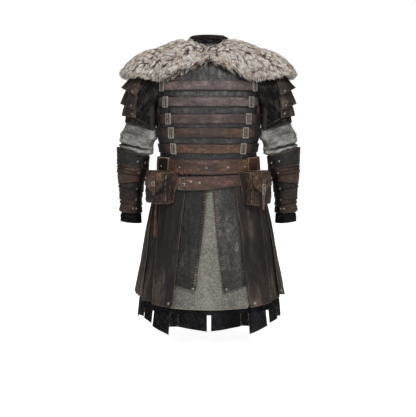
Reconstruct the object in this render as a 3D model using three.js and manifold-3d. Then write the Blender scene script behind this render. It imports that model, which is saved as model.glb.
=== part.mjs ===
// Worn leather-and-fur armour: jerkin, mantle, shoulder lames, sleeves, bracers, belts, pouches and skirts.
// Millimetres. +X is the wearer's right, +Y the wearer's front, +Z up, origin at the centre of the neck base.
import * as THREE from 'three';
import Module from 'manifold-3d';

const wasm = await Module();
wasm.setup();

// ---------------------------------------------------------------- driving sizes
const STEP = 7.5; // degrees between the body's drafting lines
const SEAM = 0.16; // half of the space at a seam
const LEATHER = 2.4;
const SKIRT_LEATHER = 2.2;
const CLOTH = 1.8;
const BELT_LEATHER = 3.0;
const STRAP_LEATHER = 3.0;
const LAME_LEATHER = 2.4;

// How far out of the jerkin's face each layer's inner side lies at the waist.
const LAY = { underskirt: -7.6, greySkirt: -5.4, underPanel: 0.8, overPanel: 3.8, belt: 6.8, pouch: 11.8 };

// Body form: half width and half depth of the jerkin and, below the waist, of the skirts, which
// hang a little closer on the left by leftIn.
const BODY = [
  { z: 0, wide: 72, deep: 66, leftIn: 0 },
  { z: -25, wide: 122, deep: 86, leftIn: 0 },
  { z: -50, wide: 168, deep: 101, leftIn: 0 },
  { z: -75, wide: 187, deep: 112, leftIn: 0 },
  { z: -110, wide: 192, deep: 122, leftIn: 0 },
  { z: -150, wide: 193, deep: 130, leftIn: 0 },
  { z: -200, wide: 193.4, deep: 136, leftIn: 0 },
  { z: -260, wide: 193.4, deep: 138, leftIn: 0 },
  { z: -320, wide: 190.4, deep: 136, leftIn: 0 },
  { z: -381, wide: 177, deep: 130, leftIn: 0 },
  { z: -475, wide: 182, deep: 131, leftIn: 0 },
  { z: -520, wide: 197, deep: 142, leftIn: 2 },
  { z: -678, wide: 234, deep: 174, leftIn: 9 },
  { z: -829, wide: 262, deep: 200, leftIn: 11 },
  { z: -930, wide: 280, deep: 214, leftIn: 10 },
  { z: -1035, wide: 293, deep: 226, leftIn: 4 },
];
const SKIRT_LINES = [-475, -520, -678, -829];

const JERKIN = {
  top: 0,
  foot: -446,
  columns: 9,
  lines: [0, -25, -50, -66, -80, -105, -141, -178, -203, -216, -260, -320, -381, -446],
};
const ARMHOLE = { middle: -141, halfHeight: 75, halfAngle: 26 };
const COLLAR = [
  { z: -10, wide: 69.2, deep: 63.2 },
  { z: 2, wide: 69.6, deep: 63.6 },
  { z: 9, wide: 73, deep: 67 },
  { z: 17, wide: 74, deep: 68 },
  { z: 25, wide: 68, deep: 62 },
  { z: 30, wide: 58, deep: 53 },
];
const COLLAR_WALL = 2.6;

// Arm rings, right side: outermost point, innermost point, half depth front to back, centre's y.
const UPPER_SLEEVE = [
  { outX: 232, outZ: -86, inX: 196.2, inZ: -232, deep: 60, y: -1 },
  { outX: 266, outZ: -112, inX: 196.0, inZ: -250, deep: 61, y: -2 },
  { outX: 288, outZ: -150, inX: 195.4, inZ: -270, deep: 61, y: -4 },
  { outX: 298, outZ: -205, inX: 195.4, inZ: -290, deep: 59, y: -6 },
  { outX: 303, outZ: -281, inX: 195.6, inZ: -312, deep: 57, y: -8 },
];
const LINEN_SLEEVE = [
  { outX: 296, outZ: -258, inX: 200.0, inZ: -286, deep: 50, y: -7 },
  { outX: 300.4, outZ: -283, inX: 198.2, inZ: -313, deep: 54.4, y: -8 },
  { outX: 322, outZ: -322, inX: 192.2, inZ: -340, deep: 62, y: -9 },
  { outX: 324, outZ: -350, inX: 200, inZ: -372, deep: 62, y: -10 },
  { outX: 325, outZ: -372, inX: 219, inZ: -396, deep: 52, y: -8 },
  { outX: 327, outZ: -400, inX: 225, inZ: -424, deep: 47, y: -7 },
];
const BRACER = [
  { outX: 333, outZ: -378, inX: 217, inZ: -410, deep: 55, y: -8 },
  { outX: 334, outZ: -436, inX: 220, inZ: -452, deep: 55, y: -4 },
  { outX: 333, outZ: -470, inX: 233, inZ: -480, deep: 50, y: 4 },
  { outX: 330, outZ: -518, inX: 243, inZ: -524, deep: 44, y: 17 },
  { outX: 327, outZ: -568, inX: 250, inZ: -572, deep: 39, y: 28 },
  { outX: 331, outZ: -612, inX: 250, inZ: -618, deep: 39, y: 38 },
];
const WRIST = [
  { outX: 325.2, outZ: -600, inX: 254, inZ: -606, deep: 35.0, y: 35.3 },
  { outX: 328.2, outZ: -648, inX: 253.4, inZ: -656, deep: 35.6, y: 46 },
];
// The flared cuff's rows: share of the bracer's length, and how far out of the bracer it lies.
const BRACER_CUFF = [
  { at: -0.03, lift: 2.2 },
  { at: 0.06, lift: 1.2 },
  { at: 0.185, lift: 0.6 },
];
const BRACER_CUFF_WALL = 2.6;
const SLEEVE_WALL = 2;
const LINEN_WALL = 1.6;
const BRACER_WALL = 2.6;
// Raised wraps on the bracer: share of the length where each begins and ends.
const WRAPS = [
  { from: 0.29, to: 0.4 },
  { from: 0.52, to: 0.64 },
  { from: 0.76, to: 0.86 },
];
const WRAP_RISE = 1.8;

// Shoulder lames: the sleeve ring each starts on, its half angle there, the ring it rests over,
// then the lower edge's outer tip and rear corner.
const LAMES = [
  {
    name: 'top', from: 0.4, half: 58, ring: 1, ringLift: 2.6, over: 1.5, lift: 9, outX: 317,
    outZ: -156, cornerX: 258, cornerY: 84, cornerZ: -184,
  },
  {
    name: 'middle', from: 1.75, half: 70, ring: 2, ringLift: 1.3, over: 2.5, lift: 6.8, outX: 320,
    outZ: -213, cornerX: 263, cornerY: 78, cornerZ: -235,
  },
  {
    name: 'lower', from: 2.8, half: 76, ring: 3, ringLift: 1.0, over: 3.45, lift: 1.6, outX: 315,
    outZ: -257, cornerX: 259, cornerY: 72, cornerZ: -264,
  },
];

// Mantle, right half: its lower edge. Over the body the edge is an angle and a height,
// past the shoulder it is a place beside the arm.
const MANTLE = [
  { angle: 0, edgeZ: -72, full: 30 },
  { angle: 14, edgeZ: -84, full: 33 },
  { angle: 27, edgeZ: -100, full: 34 },
  { angle: 41, edgeZ: -122, full: 34 },
  { angle: 55, edgeZ: -130, full: 33 },
  { angle: 68, edgeX: 206, edgeY: -82, edgeZ: -121, full: 34 },
  { angle: 79, edgeX: 252, edgeY: -82, edgeZ: -116, full: 34 },
  { angle: 86, edgeX: 296, edgeY: -50, edgeZ: -118, full: 33 },
  { angle: 94, edgeX: 303, edgeY: 20, edgeZ: -122, full: 33 },
  { angle: 102, edgeX: 268, edgeY: 78, edgeZ: -116, full: 34 },
  { angle: 112, edgeX: 206, edgeY: 82, edgeZ: -121, full: 34 },
  { angle: 126, edgeZ: -130, full: 33 },
  { angle: 140, edgeZ: -122, full: 32 },
  { angle: 154, edgeZ: -104, full: 28 },
];
const MANTLE_LIFT = [1, 1.3, 2.1, 2.2, 2.2, 2.2];

const BACK_STRAPS = [
  { z: -151.5, reach: 61, buckleX: 164 },
  { z: -208, reach: 66, buckleX: 151 },
  { z: -267, reach: 86, buckleX: 141 },
  { z: -316, reach: 86, buckleX: 131, bend: -320 },
  { z: -372, reach: 86, buckleX: 123 },
];
const BACK_STRAP_TALL = 32;
const STRAP_BUCKLE = { wide: 25, tall: 39, bar: 4, thick: 2.6 };

// Belts: upper and lower edge at angles from the centre back, same on both sides of the main belt.
const MAIN_BELT = [
  { angle: 0, top: -410, foot: -463 },
  { angle: 45, top: -409, foot: -460 },
  { angle: 90, top: -406, foot: -455 },
  { angle: 180, top: -404, foot: -453 },
];
const SECOND_BELT = [
  { angle: -180, top: -458, foot: -502 },
  { angle: -90, top: -461, foot: -508 },
  { angle: -55, top: -466, foot: -515 },
  { angle: -28, top: -471, foot: -521 },
  { angle: 0, top: -468, foot: -518 },
  { angle: 35, top: -464, foot: -504 },
  { angle: 90, top: -459, foot: -502 },
  { angle: 180, top: -458, foot: -502 },
];
const MAIN_BUCKLE = { angle: 180, z: -427.5, wide: 48, tall: 57, bar: 8, thick: 4 };
const SECOND_BUCKLE = { angle: -28, z: -497, wide: 25, tall: 54, bar: 5, thick: 3 };

// Pouches, one a side: the middle's angle, the body's extents and how much each sticks out.
const POUCHES = [
  {
    side: 'left', angle: -51.5, half: 17, top: -452, foot: -566, deep: 45, loop: -57, loopHalf: 5.4,
    strapFoot: -536,
  },
  {
    side: 'right', angle: 51.5, half: 17, top: -452, foot: -570, deep: 44, loop: 55, loopHalf: 4.4,
    strapFoot: -588,
  },
];
const POUCH_LOOP = { thick: 2.6, lip: 7 };
const FLAP = { wall: 2, lift: 0.5, sideDrop: 46, midDrop: 78 };
const HANGER = { angle: -30, half: 2.6, foot: -464, thick: 2.2 };
// The hanging thong keeps the same distance from the middle while the skirt widens under it.
const THONG = [
  { z: -500, angle: -68.5 },
  { z: -540, angle: -66 },
  { z: -575, angle: -63.5 },
  { z: -620, angle: -59.8 },
  { z: -655, angle: -57.4 },
  { z: -690, angle: -55.4 },
];
const THONG_SIZE = { half: 2.5, off: 4.2, thick: 1.9 };

const GREY_HEM = -932;
// The grey skirt's hem by angle from the centre back: only its back breadth is cut long.
const GREY_HEMS = [
  { angle: 0, hem: -932 },
  { angle: 30, hem: -931 },
  { angle: 37.5, hem: -893 },
  { angle: 180, hem: -893 },
];
const GREY_FOLDS = { count: 13, deep: 3.2, sink: 2.6 };

// Strips of the dark underskirt, right half of the back: angles and hem heights at both edges.
const SLIT_TOP = -950;
const STRIPS_BACK = [
  { from: -89.6, to: -77, hemFrom: -994, hemTo: -990, slit: -960 },
  { from: -75, to: -64, hemFrom: -982, hemTo: -980, slit: -960 },
  { from: -62.6, to: -50.6, hemFrom: -986, hemTo: -996, slit: -948 },
  { from: -48.4, to: -30.55, hemFrom: -1005, hemTo: -1026, slit: -965 },
  { from: -30.4, to: -23.45, hemFrom: -997, hemTo: -994, slit: -965 },
  { from: -23.3, to: -1.1, hemFrom: -994, hemTo: -1007, slit: -948 },
  { from: 1.9, to: 25.2, hemFrom: -1006, hemTo: -994, slit: -965 },
  { from: 25.35, to: 31.75, hemFrom: -992, hemTo: -995, slit: -965 },
  { from: 31.9, to: 50.2, hemFrom: -1024, hemTo: -1005, slit: -948 },
  { from: 54, to: 68, hemFrom: -998, hemTo: -991, slit: -960 },
  { from: 69.6, to: 78, hemFrom: -984, hemTo: -990, slit: -960 },
  { from: 79.6, to: 89.6, hemFrom: -992, hemTo: -996, slit: -960 },
];
const STRIPS_FRONT = [
  { from: 90.4, to: 104, hemFrom: -996, hemTo: -990, slit: -960 },
  { from: 105.6, to: 120, hemFrom: -1000, hemTo: -1012, slit: -960 },
  { from: 121.6, to: 138, hemFrom: -994, hemTo: -1002, slit: -960 },
  { from: 139.6, to: 158, hemFrom: -1010, hemTo: -996, slit: -960 },
  { from: 159.6, to: 178.6, hemFrom: -992, hemTo: -1006, slit: -948 },
  { from: 181.4, to: 200.4, hemFrom: -1006, hemTo: -992, slit: -960 },
  { from: 202, to: 220.4, hemFrom: -996, hemTo: -1010, slit: -960 },
  { from: 222, to: 238.4, hemFrom: -1002, hemTo: -994, slit: -960 },
  { from: 240, to: 254.4, hemFrom: -1012, hemTo: -1000, slit: -960 },
  { from: 256, to: 269.6, hemFrom: -990, hemTo: -996, slit: -960 },
];

// Outer skirt panels: edge angles away from the centre back at the waist and at the hem, hem heights,
// layer. The back ones are cut a little differently left and right.
const BACK_PANELS = {
  left: [
    {
      name: 'back_short', waistFrom: -1, waistTo: 26.5, hemFrom: 9.6, hemTo: 29.5, footFrom: -865,
      footTo: -846, layer: 'under', columns: 4,
    },
    {
      name: 'back_wide', waistFrom: 23.4, waistTo: 59, hemFrom: 26.8, hemTo: 46, footFrom: -927,
      footTo: -923, layer: 'over', columns: 5,
    },
    {
      name: 'back_side', waistFrom: 57, waistTo: 80, hemFrom: 44, hemTo: 62, footFrom: -913,
      footTo: -921, layer: 'under', columns: 4,
    },
    {
      name: 'side', waistFrom: 77, waistTo: 105, hemFrom: 60, hemTo: 89, footFrom: -908,
      footTo: -904, layer: 'over', columns: 4,
    },
  ],
  right: [
    {
      name: 'back_short', waistFrom: 3, waistTo: 30, hemFrom: 11.2, hemTo: 33.5, footFrom: -870,
      footTo: -843, layer: 'under', columns: 4,
    },
    {
      name: 'back_wide', waistFrom: 27.6, waistTo: 61, hemFrom: 31.2, hemTo: 52, footFrom: -928,
      footTo: -921, layer: 'over', columns: 5,
    },
    {
      name: 'back_side', waistFrom: 59, waistTo: 82, hemFrom: 50, hemTo: 67.5, footFrom: -918,
      footTo: -912, layer: 'under', columns: 4,
    },
    {
      name: 'side', waistFrom: 79, waistTo: 105, hemFrom: 65.5, hemTo: 89, footFrom: -903,
      footTo: -921, layer: 'over', columns: 4,
    },
  ],
};
const FRONT_PANELS = [
  {
    name: 'front_side', waistFrom: 102, waistTo: 124, hemFrom: 87, hemTo: 111, footFrom: -920,
    footTo: -914, layer: 'under', columns: 4,
  },
  {
    name: 'front_wide', waistFrom: 121, waistTo: 147, hemFrom: 109, hemTo: 134, footFrom: -920,
    footTo: -926, layer: 'over', columns: 4,
  },
  {
    name: 'front_inner', waistFrom: 144, waistTo: 166, hemFrom: 132, hemTo: 154, footFrom: -916,
    footTo: -920, layer: 'under', columns: 4,
  },
  {
    name: 'front_short', waistFrom: 163, waistTo: 178.8, hemFrom: 152, hemTo: 174, footFrom: -905,
    footTo: -912, layer: 'over', columns: 3,
  },
];
const PANEL_TOP = -430;
const PANEL_FLARE = { under: 0.8, over: 3.4 };

const LOOKS = {
  jerkin: { color: 0x2e2925, roughness: 0.62 },
  panel: { color: 0x35291f, roughness: 0.6 },
  strap: { color: 0x42291f, roughness: 0.5 },
  belt: { color: 0x4f3020, roughness: 0.5 },
  pouch: { color: 0x523423, roughness: 0.55 },
  lame: { color: 0x34261f, roughness: 0.55 },
  dark: { color: 0x1e1d1e, roughness: 0.9 },
  linen: { color: 0x75736e, roughness: 0.95 },
  grey: { color: 0x6f6c66, roughness: 0.95 },
  fur: { color: 0xa59684, roughness: 1 },
  metal: { color: 0x9a927f, roughness: 0.4 },
};

// ---------------------------------------------------------------- small helpers
const DEG = Math.PI / 180;
const mix = (from, to, share) => from + (to - from) * share;
const vec = (x, y, z) => new THREE.Vector3(x, y, z);
const blend = (from, to, share) => from.clone().lerp(to, share);

// Value of a column in a table whose rows rise or fall along another column.
function lookUp(table, key, at, column) {
  const rising = table[table.length - 1][key] > table[0][key];
  for (let row = 1; row < table.length; row += 1) {
    const here = table[row][key];
    const inside = rising ? at <= here : at >= here;
    if (inside || row === table.length - 1) {
      const before = table[row - 1][key];
      return mix(table[row - 1][column], table[row][column], (at - before) / (here - before));
    }
  }
  return table[0][column];
}

// Evenly spaced numbers, both ends included.
function spread(from, to, parts) {
  return Array.from({ length: parts + 1 }, (_, index) => mix(from, to, index / parts));
}

// Columns between two angles that also stand on the drafting lines.
function columnsBetween(from, to) {
  const found = [from];
  const first = Math.ceil((from + 1.2) / STEP) * STEP;
  for (let angle = first; angle < to - 1.2; angle += STEP) {
    found.push(angle);
  }
  found.push(to);
  return found;
}

// ---------------------------------------------------------------- the body form
// Angle 0 is the centre back, positive toward the wearer's right.
function bodyPoint(angle, height) {
  const across = Math.sin(angle * DEG);
  const pull = across < 0 ? lookUp(BODY, 'z', height, 'leftIn') * across * across : 0;
  const wide = lookUp(BODY, 'z', height, 'wide') - pull;
  const deep = lookUp(BODY, 'z', height, 'deep');
  return vec(wide * across, -deep * Math.cos(angle * DEG), height);
}

function bodyNormal(angle, height) {
  const around = bodyPoint(angle + 1, height).sub(bodyPoint(angle - 1, height));
  const upper = Math.min(height + 12, 0);
  const along = bodyPoint(angle, upper).sub(bodyPoint(angle, upper - 24));
  return around.cross(along).normalize();
}

const draftPoint = (angle, height, off) => bodyPoint(angle, height).addScaledVector(bodyNormal(angle, height), off);

// A place on the faceted body form, moved out by off.
function drape(angle, height, off) {
  const left = Math.floor(angle / STEP + 1e-9) * STEP;
  let row = 1;
  while (row < BODY.length - 1 && height < BODY[row].z) {
    row += 1;
  }
  const high = BODY[row - 1].z;
  const low = BODY[row].z;
  const across = (angle - left) / STEP;
  const down = (height - high) / (low - high);
  const top = blend(draftPoint(left, high, off), draftPoint(left + STEP, high, off), across);
  const foot = blend(draftPoint(left, low, off), draftPoint(left + STEP, low, off), across);
  return blend(top, foot, down);
}

// Angle that shifts a body edge by half a seam.
function seamAngle(angle, height) {
  const wide = lookUp(BODY, 'z', height, 'wide');
  const deep = lookUp(BODY, 'z', height, 'deep');
  const reach = Math.hypot(wide * Math.cos(angle * DEG), deep * Math.sin(angle * DEG));
  return SEAM / reach / DEG;
}

// ---------------------------------------------------------------- building solids
function geometryOf(points, faces) {
  const used = new Map();
  const position = [];
  const index = [];
  for (const corner of faces.flat()) {
    if (!used.has(corner)) {
      used.set(corner, position.length / 3);
      position.push(points[corner].x, points[corner].y, points[corner].z);
    }
    index.push(used.get(corner));
  }
  let volume = 0;
  for (const [a, b, c] of faces) {
    volume += points[a].dot(points[b].clone().cross(points[c]));
  }
  if (volume < 0) {
    for (let at = 0; at < index.length; at += 3) {
      [index[at + 1], index[at + 2]] = [index[at + 2], index[at + 1]];
    }
  }
  const geometry = new THREE.BufferGeometry();
  geometry.setAttribute('position', new THREE.Float32BufferAttribute(position, 3));
  geometry.setIndex(index);
  geometry.computeVertexNormals();
  return geometry;
}

// A wall between two grids of points, outer[i][j] and inner[i][j]. It closes on itself along i when
// round is true, and keep(i, j) says which cells exist.
function wall(outer, inner, round = false, keep = () => true) {
  const across = outer.length;
  const along = outer[0].length;
  const cellsAcross = round ? across : across - 1;
  const points = [...outer.flat(), ...inner.flat()];
  const out = (i, j) => (i % across) * along + j;
  const into = (corner) => corner + across * along;
  const exists = (i, j) => {
    if (j < 0 || j >= along - 1) {
      return false;
    }
    if (!round && (i < 0 || i >= cellsAcross)) {
      return false;
    }
    return keep((i + cellsAcross) % cellsAcross, j);
  };
  const faces = [];
  const rim = (from, to) => {
    faces.push([to, from, into(from)], [to, into(from), into(to)]);
  };
  for (let i = 0; i < cellsAcross; i += 1) {
    for (let j = 0; j < along - 1; j += 1) {
      if (!exists(i, j)) {
        continue;
      }
      const a = out(i, j);
      const b = out(i + 1, j);
      const c = out(i + 1, j + 1);
      const d = out(i, j + 1);
      faces.push([a, b, c], [a, c, d]);
      faces.push([into(a), into(c), into(b)], [into(a), into(d), into(c)]);
      if (!exists(i, j - 1)) {
        rim(a, b);
      }
      if (!exists(i + 1, j)) {
        rim(b, c);
      }
      if (!exists(i, j + 1)) {
        rim(c, d);
      }
      if (!exists(i - 1, j)) {
        rim(d, a);
      }
    }
  }
  return geometryOf(points, faces);
}

// A closed ring of one cross-section carried round a loop: sections[i] is a closed list of points.
function hoop(sections) {
  const count = sections.length;
  const size = sections[0].length;
  const faces = [];
  for (let i = 0; i < count; i += 1) {
    for (let j = 0; j < size; j += 1) {
      const a = i * size + j;
      const b = ((i + 1) % count) * size + j;
      const c = ((i + 1) % count) * size + ((j + 1) % size);
      const d = i * size + ((j + 1) % size);
      faces.push([a, b, c], [a, c, d]);
    }
  }
  return geometryOf(sections.flat(), faces);
}

// A length with closed ends: sections[i] is a closed list of points, convex seen from its own middle.
function length(sections) {
  const count = sections.length;
  const size = sections[0].length;
  const faces = [];
  for (let i = 0; i < count - 1; i += 1) {
    for (let j = 0; j < size; j += 1) {
      const a = i * size + j;
      const b = (i + 1) * size + j;
      const c = (i + 1) * size + ((j + 1) % size);
      const d = i * size + ((j + 1) % size);
      faces.push([a, b, c], [a, c, d]);
    }
  }
  const outline = sections[0];
  const flat = outlineFaces(outline);
  const last = (count - 1) * size;
  for (const [a, b, c] of flat) {
    faces.push([a, b, c]);
    faces.push([last + a, last + c, last + b]);
  }
  return geometryOf(sections.flat(), faces);
}

// Triangles filling a closed outline, which may be concave, wound the way the outline runs.
function outlineFaces(outline) {
  const normal = vec(0, 0, 0);
  outline.forEach((point, at) => {
    normal.add(point.clone().cross(outline[(at + 1) % outline.length]));
  });
  normal.normalize();
  const side = Math.abs(normal.z) < 0.9 ? vec(0, 0, 1).cross(normal).normalize() : vec(1, 0, 0);
  const up = normal.clone().cross(side);
  const flat = outline.map((point) => new THREE.Vector2(point.dot(side), point.dot(up)));
  const forward = THREE.ShapeUtils.area(flat) > 0;
  return THREE.ShapeUtils.triangulateShape(flat, []).map(([a, b, c]) => {
    const same = THREE.ShapeUtils.area([flat[a], flat[b], flat[c]]) > 0 === forward;
    return same ? [a, b, c] : [a, c, b];
  });
}

function toManifold(geometry) {
  const mesh = new wasm.Mesh({
    numProp: 3,
    vertProperties: new Float32Array(geometry.getAttribute('position').array),
    triVerts: new Uint32Array(geometry.getIndex().array),
  });
  return new wasm.Manifold(mesh);
}

function fromManifold(solid) {
  const mesh = solid.getMesh();
  const geometry = new THREE.BufferGeometry();
  geometry.setAttribute('position', new THREE.Float32BufferAttribute(Array.from(mesh.vertProperties), 3));
  geometry.setIndex(Array.from(mesh.triVerts));
  geometry.computeVertexNormals();
  return geometry;
}

const joined = (parts) => fromManifold(parts.map(toManifold).reduce((whole, next) => whole.add(next)));

const group = new THREE.Group();
group.name = 'viking_armour';

function addPiece(name, geometry, look) {
  const material = new THREE.MeshStandardMaterial({ ...LOOKS[look] });
  material.name = `${name}_${look}`;
  const mesh = new THREE.Mesh(geometry, material);
  mesh.name = name;
  group.add(mesh);
}

const SIDES = [
  { name: 'left', sign: -1 },
  { name: 'right', sign: 1 },
];

// ---------------------------------------------------------------- jerkin
function armholeAngle(height) {
  const away = (height - ARMHOLE.middle) / ARMHOLE.halfHeight;
  return Math.abs(away) >= 1 ? 0 : ARMHOLE.halfAngle * Math.sqrt(1 - away * away);
}

// One quarter from the centre seam to the side seam, the armhole cut into its side.
function jerkinQuarter(sign, centre) {
  const towardSide = centre === 0 ? 1 : -1;
  const outer = [];
  const inner = [];
  for (let column = 0; column <= JERKIN.columns; column += 1) {
    const share = column / JERKIN.columns;
    const angleAt = (height) => {
      const start = centre + towardSide * seamAngle(centre, height);
      const end = 90 - towardSide * (armholeAngle(height) + seamAngle(90, height));
      return sign * mix(start, end, share);
    };
    outer.push(JERKIN.lines.map((height) => drape(angleAt(height), height, 0)));
    inner.push(JERKIN.lines.map((height) => drape(angleAt(height), height, -LEATHER)));
  }
  return wall(outer, inner);
}

for (const side of SIDES) {
  addPiece(`jerkin_back_${side.name}`, jerkinQuarter(side.sign, 0), 'jerkin');
  addPiece(`jerkin_front_${side.name}`, jerkinQuarter(side.sign, 180), 'jerkin');
}

// ---------------------------------------------------------------- collar
function ellipseRing(row, shrink, count) {
  return spread(0, 360, count)
    .slice(0, count)
    .map((angle) => vec((row.wide - shrink) * Math.sin(angle * DEG), -(row.deep - shrink) * Math.cos(angle * DEG), row.z));
}

function collar() {
  const count = 24;
  const ringsOut = COLLAR.map((row) => ellipseRing(row, 0, count));
  const ringsIn = COLLAR.map((row, at) => {
    const sunk = at === COLLAR.length - 1 ? row.z - COLLAR_WALL : row.z;
    return ellipseRing({ ...row, z: sunk }, at >= COLLAR.length - 2 ? COLLAR_WALL * 0.9 : COLLAR_WALL, count);
  });
  const turn = (rings) => rings[0].map((_, column) => rings.map((ring) => ring[column]));
  return wall(turn(ringsOut), turn(ringsIn), true);
}
addPiece('collar', collar(), 'dark');

// ---------------------------------------------------------------- sleeves and bracers
// Ring of an arm table, right side. t = 0 is outermost, 90 the back, 180 innermost, 270 the front.
function armPoint(row, t, shrink) {
  const centre = vec((row.outX + row.inX) / 2, row.y, (row.outZ + row.inZ) / 2);
  const reach = vec((row.outX - row.inX) / 2, 0, (row.outZ - row.inZ) / 2);
  const long = reach.length();
  reach.multiplyScalar((long - shrink) / long);
  return centre
    .addScaledVector(reach, Math.cos(t * DEG))
    .add(vec(0, -(row.deep - shrink) * Math.sin(t * DEG), 0));
}

function armholeLoop(t, grow, off) {
  const height = ARMHOLE.middle + (ARMHOLE.halfHeight + grow) * Math.cos(t * DEG);
  const swing = (ARMHOLE.halfAngle + grow / 2.4) * Math.sin(t * DEG);
  return drape(90 - swing, height, off);
}

function mirrored(points, sign) {
  return points.map((column) => column.map((point) => vec(sign * point.x, point.y, point.z)));
}

const SLEEVE_COLUMNS = 18;
const turns = spread(0, 360, SLEEVE_COLUMNS).slice(0, SLEEVE_COLUMNS);

// Outer side of the dark upper sleeve: row 0 lies round the armhole.
function upperSleevePoint(row, t, shrink = 0) {
  if (row <= 0) {
    return armholeLoop(t, 4.2 - shrink, 1.2);
  }
  return armPoint(UPPER_SLEEVE[row - 1], t, shrink);
}

function upperSleeveAt(place, t) {
  const row = Math.floor(place);
  const last = UPPER_SLEEVE.length;
  if (row >= last) {
    return upperSleevePoint(last, t);
  }
  return blend(upperSleevePoint(row, t), upperSleevePoint(row + 1, t), place - row);
}

function upperSleeve(sign) {
  const rows = [0, 1, 2, 3, 4, 5];
  const outer = turns.map((t) => rows.map((row) => upperSleevePoint(row, t)));
  const inner = turns.map((t) => rows.map((row) => upperSleevePoint(row, t, SLEEVE_WALL)));
  return wall(mirrored(outer, sign), mirrored(inner, sign), true);
}

function armTube(table, sign, thick, columns) {
  const places = spread(0, 360, columns).slice(0, columns);
  const outer = places.map((t) => table.map((row) => armPoint(row, t, 0)));
  const inner = places.map((t) => table.map((row) => armPoint(row, t, thick)));
  return wall(mirrored(outer, sign), mirrored(inner, sign), true);
}

function tableAt(table, share) {
  const place = share * (table.length - 1);
  const row = Math.max(0, Math.min(Math.floor(place), table.length - 2));
  const result = {};
  for (const column of Object.keys(table[0])) {
    result[column] = mix(table[row][column], table[row + 1][column], place - row);
  }
  return result;
}

// The bracer's wall with the wraps standing out of it.
function bracer(sign) {
  const shares = [{ at: 0, rise: 0 }];
  for (const wrap of WRAPS) {
    shares.push({ at: wrap.from - 0.012, rise: 0 }, { at: wrap.from, rise: WRAP_RISE });
    shares.push({ at: wrap.to, rise: WRAP_RISE }, { at: wrap.to + 0.012, rise: 0 });
  }
  shares.push({ at: 1, rise: 0 });
  const places = spread(0, 360, 16).slice(0, 16);
  const outer = places.map((t) => shares.map((row) => armPoint(tableAt(BRACER, row.at), t, -row.rise)));
  const inner = places.map((t) => shares.map((row) => armPoint(tableAt(BRACER, row.at), t, BRACER_WALL)));
  return wall(mirrored(outer, sign), mirrored(inner, sign), true);
}

function bracerCuff(sign) {
  const places = spread(0, 360, 16).slice(0, 16);
  const ring = (t, row, extra) => armPoint(tableAt(BRACER, row.at), t, -row.lift - extra);
  const outer = places.map((t) => BRACER_CUFF.map((row) => ring(t, row, BRACER_CUFF_WALL)));
  const inner = places.map((t) => BRACER_CUFF.map((row) => ring(t, row, 0)));
  return wall(mirrored(outer, sign), mirrored(inner, sign), true);
}

for (const side of SIDES) {
  addPiece(`upper_sleeve_${side.name}`, upperSleeve(side.sign), 'dark');
  addPiece(`linen_sleeve_${side.name}`, armTube(LINEN_SLEEVE, side.sign, LINEN_WALL, SLEEVE_COLUMNS), 'linen');
  addPiece(`bracer_${side.name}`, bracer(side.sign), 'lame');
  addPiece(`bracer_cuff_${side.name}`, bracerCuff(side.sign), 'lame');
  addPiece(`wrist_cuff_${side.name}`, armTube(WRIST, side.sign, CLOTH, 16), 'dark');
}

// ---------------------------------------------------------------- shoulder lames
function lame(row, sign) {
  const centreX = 224;
  const wide = row.outX - centreX;
  const half = Math.acos((row.cornerX - centreX) / wide) / DEG;
  const deep = row.cornerY / Math.sin(half * DEG);
  const columns = 10;
  const inner = [];
  for (const share of spread(-1, 1, columns)) {
    const t = share * row.half;
    const onSleeve = (place, lift) => {
      const point = upperSleeveAt(place, t);
      const around = upperSleeveAt(place, t + 2).sub(upperSleeveAt(place, t - 2));
      const along = upperSleeveAt(place + 0.2, t).sub(upperSleeveAt(place - 0.2, t));
      return point.addScaledVector(around.cross(along).normalize(), lift);
    };
    const swing = share * half;
    const drop = (1 - Math.cos(swing * DEG)) / (1 - Math.cos(half * DEG));
    const tip = vec(
      centreX + wide * Math.cos(swing * DEG),
      -deep * Math.sin(swing * DEG) - 2,
      mix(row.outZ, row.cornerZ, drop),
    );
    inner.push([onSleeve(row.from, 1.0), onSleeve(row.ring, row.ringLift), onSleeve(row.over, row.lift), tip]);
  }
  const outer = thicken(inner, LAME_LEATHER);
  return wall(mirrored(outer, sign), mirrored(inner, sign));
}

// A grid moved along its own normals, away from the middle of the arm.
function thicken(grid, thick) {
  const last = grid.length - 1;
  const end = grid[0].length - 1;
  return grid.map((column, i) => column.map((point, j) => {
    const around = grid[Math.min(i + 1, last)][j].clone().sub(grid[Math.max(i - 1, 0)][j]);
    const along = column[Math.min(j + 1, end)].clone().sub(column[Math.max(j - 1, 0)]);
    return point.clone().addScaledVector(around.cross(along).normalize(), thick);
  }));
}

for (const side of SIDES) {
  for (const row of LAMES) {
    addPiece(`shoulder_lame_${row.name}_${side.name}`, lame(row, side.sign), 'lame');
  }
}

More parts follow.
